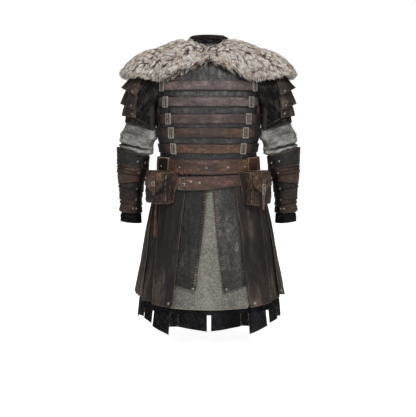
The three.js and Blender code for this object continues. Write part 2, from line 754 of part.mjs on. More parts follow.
// ---------------------------------------------------------------- fur mantle
function mantle(sign) {
  const sections = MANTLE.map((row) => {
    const angle = row.angle === 0 ? seamAngle(0, -40) : row.angle;
    const heights = [-4, -25, -50];
    if (row.edgeX === undefined) {
      heights.push(Math.max(-75, mix(-50, row.edgeZ, 0.4)), Math.max(-110, mix(-50, row.edgeZ, 0.75)), row.edgeZ);
    }
    const over = heights.map((height, at) => drape(angle, height, MANTLE_LIFT[at]));
    if (row.edgeX !== undefined) {
      const edge = vec(row.edgeX, row.edgeY, row.edgeZ);
      const start = over[2];
      for (const share of [0.35, 0.7]) {
        const point = blend(start, edge, share);
        point.z = mix(start.z, edge.z, share ** 1.7) + 4;
        over.push(point);
      }
      over.push(edge);
    }
    const full = row.full;
    const rise = [
      vec(0, 0, full * 0.52),
      vec(0, 0, full),
      outward(over, 2).multiplyScalar(full),
      outward(over, 3).multiplyScalar(full),
      outward(over, 4).multiplyScalar(full),
      outward(over, 5).multiplyScalar(full * 0.7),
    ];
    const top = over.map((point, at) => point.clone().add(rise[at])).reverse();
    return [...over, ...top];
  });
  if (sign < 0) {
    return length(sections.map((section) => section.map((point) => vec(-point.x, point.y, point.z))));
  }
  return length(sections);
}

// Direction out of a draped line at one of its points.
function outward(line, at) {
  const next = line[Math.min(at + 1, line.length - 1)];
  const before = line[Math.max(at - 1, 0)];
  const along = next.clone().sub(before).normalize();
  const level = vec(along.x, along.y, 0);
  if (level.length() < 0.15) {
    level.set(line[at].x, line[at].y, 0);
  }
  level.normalize();
  const around = vec(-level.y, level.x, 0);
  const out = along.cross(around).normalize();
  if (out.z < -0.2 || out.dot(level) < -0.4) {
    out.negate();
  }
  return out;
}

for (const side of SIDES) {
  addPiece(`fur_mantle_${side.name}`, mantle(side.sign), 'fur');
}

// ---------------------------------------------------------------- straps, belts and buckles
// A band on the body: heightsAt gives its edges, and any bend between them, at an angle.
function band(columns, heightsAt, offAt, thick, round = false) {
  const face = (off) => columns.map((angle) => heightsAt(angle).map((height) => drape(angle, height, off)));
  return wall(face(offAt + thick), face(offAt), round);
}

// A flat rectangular frame standing on the body, long side upright, with an optional middle bar.
function frame(size, angle, height, off, extraBars = []) {
  const middle = drape(angle, height, off);
  const out = bodyNormal(angle, height);
  const up = vec(0, 0, 1).addScaledVector(out, -out.z).normalize();
  const side = up.clone().cross(out);
  const place = (x, y, z) => middle.clone().addScaledVector(side, x).addScaledVector(up, y).addScaledVector(out, z);
  const corners = [
    [-1, -1],
    [1, -1],
    [1, 1],
    [-1, 1],
  ];
  const sections = corners.map(([x, y]) => {
    const far = [(x * size.wide) / 2, (y * size.tall) / 2];
    const near = [far[0] - x * size.bar, far[1] - y * size.bar];
    return [place(...far, 0), place(...near, 0), place(...near, size.thick), place(...far, size.thick)];
  });
  const parts = [hoop(sections)];
  for (const bar of extraBars) {
    const ends = [bar.from, bar.to].map(([x, y]) => {
      const sideways = bar.level ? [0, bar.half] : [bar.half, 0];
      const low = [x - sideways[0], y - sideways[1]];
      const high = [x + sideways[0], y + sideways[1]];
      return [place(...low, bar.low), place(...high, bar.low), place(...high, bar.high), place(...low, bar.high)];
    });
    parts.push(length(ends));
  }
  return parts;
}

BACK_STRAPS.forEach((row, at) => {
  const columns = columnsBetween(-row.reach, row.reach);
  const half = BACK_STRAP_TALL / 2;
  const off = 0.8;
  const heights = row.bend ? [row.z + half, row.bend, row.z - half] : [row.z + half, row.z - half];
  const parts = [band(columns, () => heights, off, STRAP_LEATHER)];
  for (const side of SIDES) {
    const wide = lookUp(BODY, 'z', row.z, 'wide');
    const angle = (side.sign * Math.asin(row.buckleX / (wide + 2))) / DEG;
    parts.push(...frame(STRAP_BUCKLE, angle, row.z, off + STRAP_LEATHER - 0.7));
  }
  addPiece(`back_strap_${at + 1}`, joined(parts), 'strap');
});

const ringColumns = spread(-180, 180, 360 / STEP).slice(0, 360 / STEP);
const mainEdge = (angle, column) => lookUp(MAIN_BELT, 'angle', Math.abs(angle), column);
const mainHeights = (angle) => [mainEdge(angle, 'top'), mainEdge(angle, 'foot')];
const secondHeights = (angle) => ['top', 'foot'].map((edge) => lookUp(SECOND_BELT, 'angle', angle, edge));
addPiece('main_belt', band(ringColumns, mainHeights, LAY.belt, BELT_LEATHER, true), 'belt');
addPiece('second_belt', band(ringColumns, secondHeights, LAY.belt, BELT_LEATHER, true), 'belt');

const buckleBars = (size) => [
  {
    from: [0, -size.tall / 2 + size.bar / 2], to: [0, size.tall / 2 - size.bar / 2],
    half: size.bar / 2.4, low: 0.3, high: size.thick - 0.3,
  },
  {
    from: [-0.5, 0], to: [size.wide / 2 + 3, 0], half: size.bar / 2.6, level: true,
    low: size.thick - 1.2, high: size.thick + 1.6,
  },
];
const BUCKLE_OFF = LAY.belt + BELT_LEATHER + 0.5;
const buckle = (size, off) => joined(frame(size, size.angle, size.z, off, buckleBars(size)));
addPiece('main_buckle', buckle(MAIN_BUCKLE, BUCKLE_OFF + 0.2), 'metal');
addPiece('second_buckle', buckle(SECOND_BUCKLE, BUCKLE_OFF + 1), 'metal');

// ---------------------------------------------------------------- belt hangers
// A strip hooked over the belt's upper edge and hanging down its face.
function hooked(angle, half, foot, thick, off) {
  const top = mainEdge(angle, 'top') + 0.7;
  const lip = LAY.belt - 0.7;
  const profile = [
    [off, foot],
    [off + thick, foot],
    [off + thick, top + thick],
    [lip - thick, top + thick],
    [lip - thick, top - POUCH_LOOP.lip],
    [lip, top - POUCH_LOOP.lip],
    [lip, top],
    [off, top],
  ];
  const sections = [angle - half, angle, angle + half].map((at) => profile.map(([out, height]) => drape(at, height, out)));
  return length(sections);
}

const hangerOff = LAY.belt + BELT_LEATHER + 0.6;
addPiece('belt_hanger', hooked(HANGER.angle, HANGER.half, HANGER.foot, HANGER.thick, hangerOff), 'belt');

// ---------------------------------------------------------------- pouches
function pouchFrame(row) {
  const middle = drape(row.angle, mix(row.top, row.foot, 0.5), LAY.pouch);
  const out = bodyNormal(row.angle, -440);
  out.z = 0;
  out.normalize();
  const side = vec(-out.y, out.x, 0);
  return { middle, out, side };
}

// Front face of a pouch: across and down run 0..1, and the face swells in its middle.
function pouchFace(row, across, down, off) {
  const { middle, out, side } = pouchFrame(row);
  const back = drape(row.angle + (across * 2 - 1) * row.half, mix(row.top, row.foot, down), LAY.pouch);
  const swell = Math.min(1, 3.2 * Math.sin(Math.PI * mix(0.08, 0.92, down)) * Math.sin(Math.PI * mix(0.1, 0.9, across)));
  const width = 49 + 3 * down;
  const lean = mix(-4, 3, down);
  const front = middle
    .clone()
    .addScaledVector(side, (across * 2 - 1) * width)
    .addScaledVector(out, row.deep * mix(0.82, 1, swell) + lean + off);
  front.z = mix(row.top - off * 0.4, row.foot, down);
  return { back, front };
}

function pouchBody(row) {
  const acrossSteps = [0, 0.14, 0.5, 0.86, 1];
  const downSteps = [0, 0.12, 0.5, 0.88, 1];
  const faces = acrossSteps.map((across) => downSteps.map((down) => pouchFace(row, across, down, 0)));
  const outer = faces.map((column) => column.map((pair) => pair.front));
  const inner = faces.map((column) => column.map((pair) => pair.back));
  const loop = hooked(row.loop, row.loopHalf, row.top - 8, POUCH_LOOP.thick, LAY.pouch);
  return joined([wall(outer, inner), loop]);
}

// The flap comes from the back of the top, over the edge and down the face to a soft point.
function pouchFlap(row) {
  const acrossSteps = [0.02, 0.2, 0.38, 0.5, 0.62, 0.8, 0.98];
  const tall = row.top - row.foot;
  const lines = acrossSteps.map((across) => {
    const bow = 1 - Math.abs(across * 2 - 1) ** 1.5;
    const drop = mix(FLAP.sideDrop, FLAP.midDrop, bow) / tall;
    const edge = pouchFace(row, across, 0, FLAP.lift);
    const start = blend(edge.front, edge.back, 0.62);
    start.z = row.top + FLAP.lift + 0.4;
    const corner = edge.front.clone();
    corner.z = row.top + FLAP.lift + 0.4;
    const bend = pouchFace(row, across, 0.12, FLAP.lift + 1).front;
    const down = [0.5, 1].map((share) => pouchFace(row, across, mix(0.12, drop, share), FLAP.lift + 1.2).front);
    return [start, corner, bend, ...down];
  });
  return wall(thicken(lines, -FLAP.wall), lines);
}

function pouchStrap(row) {
  const tall = row.top - row.foot;
  const foot = (row.top - row.strapFoot) / tall;
  const flapFoot = FLAP.midDrop / tall;
  const lines = [0.43, 0.57].map((across) => {
    const heights = [0.2, 0.45, flapFoot, foot];
    return heights.map((down) => {
      const point = pouchFace(row, across, Math.min(down, 1), FLAP.lift + FLAP.wall + 1.7).front;
      point.z = mix(row.top, row.foot, down);
      return point;
    });
  });
  return wall(thicken(lines, -2), lines);
}

for (const row of POUCHES) {
  addPiece(`pouch_${row.side}`, pouchBody(row), 'pouch');
  addPiece(`pouch_flap_${row.side}`, pouchFlap(row), 'pouch');
  addPiece(`pouch_strap_${row.side}`, pouchStrap(row), 'strap');
}

function thong() {
  const face = (off) => [-THONG_SIZE.half, 0, THONG_SIZE.half].map((shift) => (
    THONG.map((row) => drape(row.angle + shift, row.z, off))
  ));
  return wall(face(THONG_SIZE.off + THONG_SIZE.thick), face(THONG_SIZE.off));
}
addPiece('hanging_thong', thong(), 'strap');

// ---------------------------------------------------------------- grey skirt
function greySkirt() {
  const heightsAt = (angle) => [-428, ...SKIRT_LINES, lookUp(GREY_HEMS, 'angle', Math.abs(angle), 'hem')];
  const offAt = (angle, height) => {
    const reach = Math.max(0, (-520 - height) / (-520 - GREY_HEM));
    const fold = Math.sin(angle * DEG * GREY_FOLDS.count + 0.6) * 0.6 + Math.sin(angle * DEG * 7 + 2) * 0.4;
    return LAY.greySkirt - reach * (GREY_FOLDS.sink + GREY_FOLDS.deep * (1 - fold));
  };
  const face = (extra) => ringColumns.map((angle) => (
    heightsAt(angle).map((height) => drape(angle, height, offAt(angle, height) + extra))
  ));
  return wall(face(CLOTH), face(0), true);
}
addPiece('grey_skirt', greySkirt(), 'grey');

// ---------------------------------------------------------------- dagged underskirt
const UNDER_SINK = 10.5;

function underskirt(strips) {
  const columns = [];
  const lows = [];
  const cells = [];
  strips.forEach((strip, at) => {
    const parts = Math.max(1, Math.round((strip.to - strip.from) / 9));
    for (const share of spread(0, 1, parts)) {
      columns.push(mix(strip.from, strip.to, share));
      lows.push(mix(strip.hemFrom, strip.hemTo, share));
    }
    for (let cell = 0; cell < parts; cell += 1) {
      cells.push({ slit: null });
    }
    if (at < strips.length - 1) {
      cells.push({ slit: strip.slit });
    }
  });
  const heights = [-430, -475, -520, -678, -829, SLIT_TOP];
  const offAt = (height) => LAY.underskirt - UNDER_SINK * Math.max(0, Math.min(1, (-520 - height) / 420));
  const line = (angle, low, extra) => [...heights, low].map((height) => drape(angle, height, offAt(height) + extra));
  const outer = columns.map((angle, at) => line(angle, lows[at], CLOTH));
  const inner = columns.map((angle, at) => line(angle, lows[at], 0));
  return wall(outer, inner, false, (i, j) => j < heights.length - 1 || cells[i].slit === null);
}
addPiece('underskirt_back', underskirt(STRIPS_BACK), 'dark');
addPiece('underskirt_front', underskirt(STRIPS_FRONT), 'dark');

// ---------------------------------------------------------------- outer skirt panels
function panel(row, sign) {
  const level = row.layer === 'under' ? LAY.underPanel : LAY.overPanel;
  const flare = PANEL_FLARE[row.layer];
  const heightsAt = (foot) => [PANEL_TOP, ...SKIRT_LINES, foot];
  const grid = (extra) => spread(0, 1, row.columns).map((share) => {
    const foot = mix(row.footFrom, row.footTo, share);
    return heightsAt(foot).map((height) => {
      const reach = Math.max(0, (height - PANEL_TOP) / (foot - PANEL_TOP));
      const waist = mix(row.waistFrom, row.waistTo, share);
      const hem = mix(row.hemFrom, row.hemTo, share);
      const off = level + flare * reach + extra;
      return drape(sign * mix(waist, hem, reach), height, off);
    });
  });
  return wall(grid(SKIRT_LEATHER), grid(0));
}

for (const side of SIDES) {
  for (const row of [...BACK_PANELS[side.name], ...FRONT_PANELS]) {
    addPiece(`skirt_${row.name}_${side.name}`, panel(row, side.sign), 'panel');
  }
}

export default group;
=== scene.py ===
"""Looks of a worn Norse armour: jerkin, fur mantle, shoulder lames, sleeves, bracers, belts and skirts.

Pattern tables are in millimetres and degrees from the centre back, positive toward the wearer's right.
The scene is in metres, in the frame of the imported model.
"""
import logging
import math
from dataclasses import dataclass
from enum import Enum
from typing import Callable, Iterable, Sequence

import bmesh
import bpy
import numpy as np
from mathutils import Matrix, Vector, kdtree
from mathutils.bvhtree import BVHTree


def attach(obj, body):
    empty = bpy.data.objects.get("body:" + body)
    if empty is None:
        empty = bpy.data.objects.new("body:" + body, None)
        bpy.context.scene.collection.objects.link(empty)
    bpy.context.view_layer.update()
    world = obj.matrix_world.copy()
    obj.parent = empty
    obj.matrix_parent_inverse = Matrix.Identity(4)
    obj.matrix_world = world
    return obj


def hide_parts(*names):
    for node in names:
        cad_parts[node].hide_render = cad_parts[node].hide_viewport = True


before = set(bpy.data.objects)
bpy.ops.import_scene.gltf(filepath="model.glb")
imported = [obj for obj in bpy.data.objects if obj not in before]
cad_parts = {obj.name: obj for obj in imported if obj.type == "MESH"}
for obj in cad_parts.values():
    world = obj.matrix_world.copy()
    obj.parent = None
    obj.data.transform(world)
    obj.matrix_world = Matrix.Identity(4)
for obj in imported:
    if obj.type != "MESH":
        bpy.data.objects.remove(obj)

LOG = logging.getLogger("armour")
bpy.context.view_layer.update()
MM = 0.001
Colour = tuple[float, float, float, float]
Array = np.ndarray
Piece = bpy.types.Object
Socket = bpy.types.NodeSocket


# ---- small tools
def tint(red: int, green: int, blue: int) -> Colour:
    """A display colour, 0 to 255 a channel, as linear light."""
    def linear(part: int) -> float:
        """One channel as linear light."""
        share = part / 255
        return share / 12.92 if share <= 0.04045 else ((share + 0.055) / 1.055) ** 2.4
    return (linear(red), linear(green), linear(blue), 1.0)


def ease(value: Array, low: float, high: float) -> Array:
    """Smooth rise from 0 at low to 1 at high."""
    share = np.clip((value - low) / (high - low), 0, 1)
    return share * share * (3 - 2 * share)


def swell(places: Array, waves: Sequence[float], seed: int, count: int = 12) -> Array:
    """Soft random relief made of crossing waves.

    Args:
        places: Rows of coordinates, in millimetres.
        waves: Typical wave length along each coordinate.
        seed: Fixes the pattern.
        count: How many waves cross.
    Returns:
        One value a row, mostly between -1 and 1.
    """
    dice = np.random.default_rng(seed)
    total = np.zeros(len(places))
    for _ in range(count):
        way = dice.normal(size=len(waves)) / np.asarray(waves)
        total += np.sin(places @ (way * 2 * math.pi) + dice.uniform(0, 2 * math.pi))
    return total / math.sqrt(count)


def crease(places: Array, waves: Sequence[float], seed: int, narrow: float = 0.22) -> Array:
    """Thin wandering valleys: 1 in a valley, 0 away from one."""
    return np.exp(-((swell(places, waves, seed) / narrow) ** 2))


# ---- the worn form
class BodyForm:
    """The body's form that the draped pieces lie on, in millimetres."""

    ROWS = (
        (0, 72, 66, 0), (-25, 122, 86, 0), (-50, 168, 101, 0), (-75, 187, 112, 0), (-110, 192, 122, 0),
        (-150, 193, 130, 0), (-200, 193.4, 136, 0), (-260, 193.4, 138, 0), (-320, 190.4, 136, 0),
        (-381, 177, 130, 0), (-475, 182, 131, 0), (-520, 197, 142, 2), (-678, 234, 174, 9),
        (-829, 262, 200, 11), (-930, 280, 214, 10), (-1035, 293, 226, 4),
    )

    def __init__(self) -> None:
        """Sorts the rows upward for interpolation."""
        self.table = np.array(self.ROWS, float)[::-1]

    def width(self, height: Array) -> Array:
        """Half the form's width at heights, before the left side's pull."""
        return np.interp(height, self.table[:, 0], self.table[:, 1])

    def point(self, angle: Array, height: Array) -> Array:
        """Places on the form at angles and heights."""
        angle, height = np.broadcast_arrays(np.asarray(angle, float), np.asarray(height, float))
        across = np.sin(np.radians(angle))
        wide = self.width(height)
        deep = np.interp(height, self.table[:, 0], self.table[:, 2])
        pull = np.where(across < 0, np.interp(height, self.table[:, 0], self.table[:, 3]) * across**2, 0)
        return np.stack([(wide - pull) * across, -deep * np.cos(np.radians(angle)), height], -1)

    def normal(self, angle: Array, height: Array) -> Array:
        """Outward directions of the form."""
        angle, height = np.broadcast_arrays(np.asarray(angle, float), np.asarray(height, float))
        around = self.point(angle + 1, height) - self.point(angle - 1, height)
        upper = np.minimum(height + 12, 0)
        along = self.point(angle, upper) - self.point(angle, upper - 24)
        out = np.cross(around, along)
        return out / np.linalg.norm(out, axis=-1, keepdims=True)

    def drape(self, angle: Array, height: Array, off: Array | float) -> Array:
        """Places on the form moved out by off."""
        return self.point(angle, height) + self.normal(angle, height) * np.asarray(off, float)[..., None]

    def read(self, places: Array) -> tuple[Array, Array]:
        """Angle and height of places near the form."""
        wide = self.width(places[:, 2])
        deep = np.interp(places[:, 2], self.table[:, 0], self.table[:, 2])
        return np.degrees(np.arctan2(places[:, 0] / wide, -places[:, 1] / deep)), places[:, 2]


BODY = BodyForm()


class ArmForm:
    """An arm's rings from a table of outermost and innermost points, right side, mirrored for the left."""

    def __init__(self, rows: Sequence[Sequence[float]], sign: int) -> None:
        """Keeps the rows (outX, outZ, inX, inZ, deep, y) and the side's sign."""
        self.rows = np.array(rows, float)
        self.sign = sign

    def ring(self, share: Array, turn: Array, lift: Array | float) -> Array:
        """Places on the arm; turn 0 is outermost, 90 the back.

        Args:
            share: Place along the arm, 0 at the top and 1 at the end.
            turn: Angle round the arm in degrees.
            lift: How far out of the rings.
        Returns:
            Points in millimetres.
        """
        share, turn, lift = np.broadcast_arrays(
            np.asarray(share, float), np.asarray(turn, float), np.asarray(lift, float))
        stations = np.linspace(0, 1, len(self.rows))
        ease_in = np.clip(share, 0, 1)
        out_x, out_z, in_x, in_z, deep, y = (
            np.interp(ease_in, stations, self.rows[:, k])
            + (share - ease_in) * (self.rows[-1, k] - self.rows[-2, k]) * (len(self.rows) - 1) * (share > 1)
            + (share - ease_in) * (self.rows[1, k] - self.rows[0, k]) * (len(self.rows) - 1) * (share < 0)
            for k in range(6))
        middle = np.stack([(out_x + in_x) / 2, y, (out_z + in_z) / 2], -1)
        reach = np.stack([(out_x - in_x) / 2, 0 * y, (out_z - in_z) / 2], -1)
        long = np.linalg.norm(reach, axis=-1, keepdims=True)
        reach = reach * (long + lift[..., None]) / long
        around = np.radians(turn)[..., None]
        place = middle + reach * np.cos(around) + np.stack(
            [0 * deep, -(deep + lift), 0 * deep], -1) * np.sin(around)
        place[..., 0] *= self.sign
        return place

    def axis(self) -> Array:
        """The middles of the rings."""
        middle = np.stack([(self.rows[:, 0] + self.rows[:, 2]) / 2 * self.sign, self.rows[:, 5],
                           (self.rows[:, 1] + self.rows[:, 3]) / 2], -1)
        return middle

    def read(self, places: Array) -> tuple[Array, Array]:
        """Distance down the arm's middle line, and the direction away from it, for each place."""
        axis = self.axis()
        best = np.full(len(places), np.inf)
        down = np.zeros(len(places))
        away = np.zeros_like(places)
        gone = 0.0
        for start, end in zip(axis[:-1], axis[1:]):
            way = end - start
            long = np.linalg.norm(way)
            share = np.clip((places - start) @ way / long**2, 0, 1)
            offset = places - (start + share[:, None] * way)
            far = np.linalg.norm(offset, axis=1)
            near = far < best
            best[near] = far[near]
            down[near] = gone + share[near] * long
            away[near] = offset[near] / np.maximum(far[near], 1e-6)[:, None]
            gone += long
        return down, away


# ---- mesh work
def link_piece(name: str, mesh: bpy.types.Mesh) -> Piece:
    """Puts a mesh into the scene as a piece at the origin."""
    piece = bpy.data.objects.new(name, mesh)
    bpy.context.scene.collection.objects.link(piece)
    return piece


def make_piece(name: str, points: Array, faces: Sequence[Sequence[int]]) -> Piece:
    """A piece from points in millimetres and faces."""
    mesh = bpy.data.meshes.new(name)
    mesh.from_pydata((np.asarray(points) * MM).tolist(), [], [list(face) for face in faces])
    mesh.update()
    return link_piece(name, mesh)


def wall_piece(name: str, outer: Array, inner: Array, closed: bool = False) -> Piece:
    """A wall between two grids of points.

    Args:
        name: The piece's name.
        outer: Grid (columns, rows, 3) of the outer side.
        inner: The same for the inner side.
        closed: Whether the columns run all round.
    Returns:
        The piece, its faces pointing out.
    """
    columns, rows = outer.shape[:2]
    points = np.concatenate([outer.reshape(-1, 3), inner.reshape(-1, 3)])
    half = columns * rows
    spans = columns if closed else columns - 1

    def at(i: int, j: int) -> int:
        """Number of the outer point in a column and row."""
        return (i % columns) * rows + j

    faces: list[tuple[int, ...]] = []
    for i in range(spans):
        for j in range(rows - 1):
            a, b, c, d = at(i, j), at(i + 1, j), at(i + 1, j + 1), at(i, j + 1)
            faces += [(a, b, c, d), (a + half, d + half, c + half, b + half)]
        for j, order in ((0, 1), (rows - 1, -1)):
            a, b = at(i, j), at(i + 1, j)
            faces.append((b, a, a + half, b + half)[::order])
    if not closed:
        for i, order in ((0, 1), (columns - 1, -1)):
            for j in range(rows - 1):
                a, b = at(i, j), at(i, j + 1)
                faces.append((a, b, b + half, a + half)[::order])
    piece = make_piece(name, points, faces)
    face_out(piece)
    return piece


def face_out(piece: Piece) -> None:
    """Turns every face of a closed piece outward."""
    work = bmesh.new()
    work.from_mesh(piece.data)
    bmesh.ops.recalc_face_normals(work, faces=work.faces[:])
    if work.calc_volume(signed=True) < 0:
        bmesh.ops.reverse_faces(work, faces=work.faces[:])
    work.to_mesh(piece.data)
    work.free()


def pattern_copy(node: str, name: str, longest: float = 44) -> Piece:
    """A merged copy of a pattern solid, its triangles paired and its long rows cut.

    Args:
        node: The solid's name.
        name: The new piece's name.
        longest: Rows taller than this many millimetres are halved.
    Returns:
        The new piece.
    """
    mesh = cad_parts[node].data.copy()
    mesh.name = name
    mesh.materials.clear()
    work = bmesh.new()
    work.from_mesh(mesh)
    bmesh.ops.remove_doubles(work, verts=work.verts[:], dist=2e-5)
    bmesh.ops.join_triangles(
        work, faces=work.faces[:], angle_face_threshold=math.radians(32),
        angle_shape_threshold=math.radians(80))
    for _ in range(3):
        tall = [e for e in work.edges
                if e.calc_length() > longest * MM and abs(
                        e.verts[0].co.z - e.verts[1].co.z) > 0.6 * e.calc_length()]
        if tall:
            bmesh.ops.subdivide_edges(work, edges=tall, cuts=1, use_grid_fill=True)
    for edge in work.edges:
        edge.smooth = True
    work.to_mesh(mesh)
    work.free()
    for key in [a.name for a in mesh.attributes if a.name.startswith("custom_normal")]:
        mesh.attributes.remove(mesh.attributes[key])
    return link_piece(name, mesh)


def apply_modifier(piece: Piece, kind: str, **settings: object) -> None:
    """Adds one modifier and applies it."""
    bpy.ops.object.select_all(action="DESELECT")
    bpy.context.view_layer.objects.active = piece
    piece.select_set(True)
    modifier = piece.modifiers.new(kind.title(), kind)
    for key, value in settings.items():
        setattr(modifier, key, value)
    bpy.ops.object.modifier_apply(modifier=modifier.name)


def refine(piece: Piece, levels: int, hold: float = 1.0, sharp: float = 42) -> None:
    """Rounds a coarse piece into a smooth one and notes how far each point is from a cut edge.

    Args:
        piece: The coarse piece.
        levels: How often every face is divided.
        hold: How firmly sharp edges are held, 0 to 1.
        sharp: Edges that turn more than this many degrees are sharp.
    """
    work = bmesh.new()
    work.from_mesh(piece.data)
    layer = work.edges.layers.float.get("crease_edge") or work.edges.layers.float.new("crease_edge")
    rims: list[Vector] = []
    for edge in work.edges:
        if len(edge.link_faces) == 2 and edge.calc_face_angle(0) > math.radians(sharp):
            edge[layer] = hold
            steps = max(1, int(edge.calc_length() / 0.002))
            rims += [edge.verts[0].co.lerp(edge.verts[1].co, k / steps) for k in range(steps + 1)]
    work.to_mesh(piece.data)
    work.free()
    apply_modifier(piece, "SUBSURF", levels=levels, render_levels=levels)
    note_rim(piece, rims)


def note_rim(piece: Piece, rims: Sequence[Vector]) -> None:
    """Stores each point's distance to the nearest cut edge, in metres, as the attribute rim."""
    tree = kdtree.KDTree(max(1, len(rims)))
    for at, place in enumerate(rims or [Vector((9, 9, 9))]):
        tree.insert(place, at)
    tree.balance()
    far = np.array([tree.find(v.co)[2] for v in piece.data.vertices], np.float32)
    set_attribute(piece, "rim", far)


def set_attribute(piece: Piece, name: str, values: Array) -> None:
    """Stores one number a point under a name."""
    found = piece.data.attributes.get(name)
    if found:
        piece.data.attributes.remove(found)
    layer = piece.data.attributes.new(name, "FLOAT", "POINT")
    layer.data.foreach_set("value", np.asarray(values, np.float32))


def points_of(piece: Piece) -> Array:
    """The piece's points in millimetres."""
    places = np.zeros(len(piece.data.vertices) * 3)
    piece.data.vertices.foreach_get("co", places)
    return places.reshape(-1, 3) / MM


def normals_of(piece: Piece) -> Array:
    """The ways out of the piece at its points."""
    out = np.zeros(len(piece.data.vertices) * 3)
    piece.data.vertices.foreach_get("normal", out)
    return out.reshape(-1, 3)


def tree_of(piece: Piece) -> BVHTree:
    """The piece's faces in millimetres, ready for rays."""
    return BVHTree.FromPolygons(
        [tuple(p) for p in points_of(piece)], [tuple(f.vertices) for f in piece.data.polygons])


def settle(piece: Piece) -> None:
    """Takes a shape's turn and place into its mesh."""
    piece.data.transform(piece.matrix_world)
    piece.matrix_world = Matrix.Identity(4)


def set_points(piece: Piece, places: Array) -> None:
    """Moves the piece's points to places in millimetres."""
    piece.data.vertices.foreach_set("co", (places * MM).ravel())
    piece.data.update()


def shift(piece: Piece, ways: Array, far: Array, full: float = 2.0) -> None:
    """Moves every point along its way and keeps the move as the attribute fold.

    Args:
        piece: The piece.
        ways: Direction for each point.
        far: Millimetres for each point.
        full: Move that counts as a full fold.
    """
    set_points(piece, points_of(piece) + ways * far[:, None])
    set_attribute(piece, "fold", np.clip(far / full, -1, 1))


def darken(piece: Piece, much: Array) -> None:
    """Lowers the attribute fold, so that the piece is darker where much is high."""
    fold = np.zeros(len(much), np.float32)
    piece.data.attributes["fold"].data.foreach_get("value", fold)
    set_attribute(piece, "fold", fold - much)


def land(shapes: Sequence[Piece], start: Array, goal: Array) -> tuple[Array, Array]:
    """Where a line from start to goal first meets one of the pieces, and the way back along it.

    Args:
        shapes: The pieces.
        start: Outside them, in millimetres.
        goal: Inside them.
    Returns:
        The place met, or the goal, and the direction out.
    """
    way = Vector(goal - start).normalized()
    best, far = goal, 1e9
    for shape in shapes:
        hit = tree_of(shape).ray_cast(Vector(start), way)
        if hit[0] is not None and hit[3] < far:
            best, far = np.array(hit[0]), hit[3]
    return best, -np.array(way)


def lay_map(piece: Piece, across: Array, down: Array, wrap: float = 0) -> None:
    """Gives the piece a UV map in metres, across and down the cloth.

    Args:
        piece: The piece.
        across: Millimetres across for each point.
        down: Millimetres down for each point.
        wrap: Length all round after which across starts again, or 0.
    """
    mesh = piece.data
    layer = mesh.uv_layers.new(name="cloth")
    corner = np.zeros(len(mesh.loops), int)
    mesh.loops.foreach_get("vertex_index", corner)
    u, v = across[corner], down[corner]
    if wrap:
        first = np.zeros(len(mesh.polygons), int)
        sizes = np.zeros(len(mesh.polygons), int)
        mesh.polygons.foreach_get("loop_start", first)
        mesh.polygons.foreach_get("loop_total", sizes)
        lead = np.repeat(u[first], sizes)
        u = u - np.round((u - lead) / wrap) * wrap
    layer.data.foreach_set("uv", (np.stack([u, v], -1) * MM).ravel())


def body_map(piece: Piece) -> None:
    """UV map of a piece on the body: arc length at a middle width, and height."""
    angle, height = BODY.read(points_of(piece))
    lay_map(piece, angle / 360 * 1320, height, 1320)


def join_copies(name: str, model: Piece, places: Iterable[Matrix]) -> Piece:
    """One piece that holds a copy of a model at every place; the model is used up.

    Args:
        name: The new piece's name.
        model: The shape, made once at the origin.
        places: Where each copy goes, in metres.
    Returns:
        The joined piece.
    """
    work = bmesh.new()
    for place in places:
        copy = model.data.copy()
        copy.transform(place)
        work.from_mesh(copy)
        bpy.data.meshes.remove(copy)
    mesh = bpy.data.meshes.new(name)
    work.to_mesh(mesh)
    work.free()
    for key in ("rim", "fold"):
        if mesh.attributes.get(key) is None:
            layer = mesh.attributes.new(key, "FLOAT", "POINT")
            layer.data.foreach_set(
                "value", np.full(len(mesh.vertices), 0.004 if key == "rim" else 0.0, np.float32))
    bpy.data.objects.remove(model)
    return link_piece(name, mesh)


def stand_on(place: Array, out: Array, up: Array | None = None, spin: float = 0) -> Matrix:
    """A matrix that stands a shape on a surface: its z along out, its y along up, turned by spin degrees.

    Args:
        place: The spot, in millimetres.
        out: Direction out of the surface.
        up: Direction of the shape's y, before it is made square to out.
        spin: Turn about out, in degrees.
    Returns:
        The placing matrix, in metres.
    """
    z = Vector(out).normalized()
    y = Vector(up if up is not None else (0, 0, 1))
    y = (y - z * y.dot(z)).normalized()
    x = y.cross(z)
    base = Matrix((x, y, z)).transposed().to_4x4()
    return Matrix.Translation(Vector(place) * MM) @ base @ Matrix.Rotation(math.radians(spin), 4, "Z")


def edit_new(name: str) -> Piece:
    """Names the primitive just added and goes into edit mode with all of it selected."""
    piece = bpy.context.object
    piece.name = name
    piece.data.name = name
    bpy.ops.object.mode_set(mode="EDIT")
    return piece


def leave_edit() -> None:
    """Back to object mode with nothing selected."""
    bpy.ops.object.mode_set(mode="OBJECT")
    bpy.ops.object.select_all(action="DESELECT")


def dress(piece: Piece, finish: "Finish", nodes: Sequence[str] = (), sharp: float = 40) -> Piece:
    """Gives a finished piece its material and its place in the frame.

    Args:
        piece: The piece.
        finish: What it is made of.
        nodes: Pattern solids that it stands for.
        sharp: Edges that turn more stay crisp.
    Returns:
        The piece.
    """
    piece.data.materials.clear()
    piece.data.materials.append(finish.material())
    piece.data.shade_smooth()
    piece.data.set_sharp_from_angle(angle=math.radians(sharp))
    for key, rest in (("rim", 0.01), ("fold", 0.0)):
        if piece.data.attributes.get(key) is None:
            set_attribute(piece, key, np.full(len(piece.data.vertices), rest))
    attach(piece, "root")
    if nodes:
        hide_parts(*nodes)
    LOG.info("%s: %d faces, %s", piece.name, len(piece.data.polygons), finish.name)
    return piece


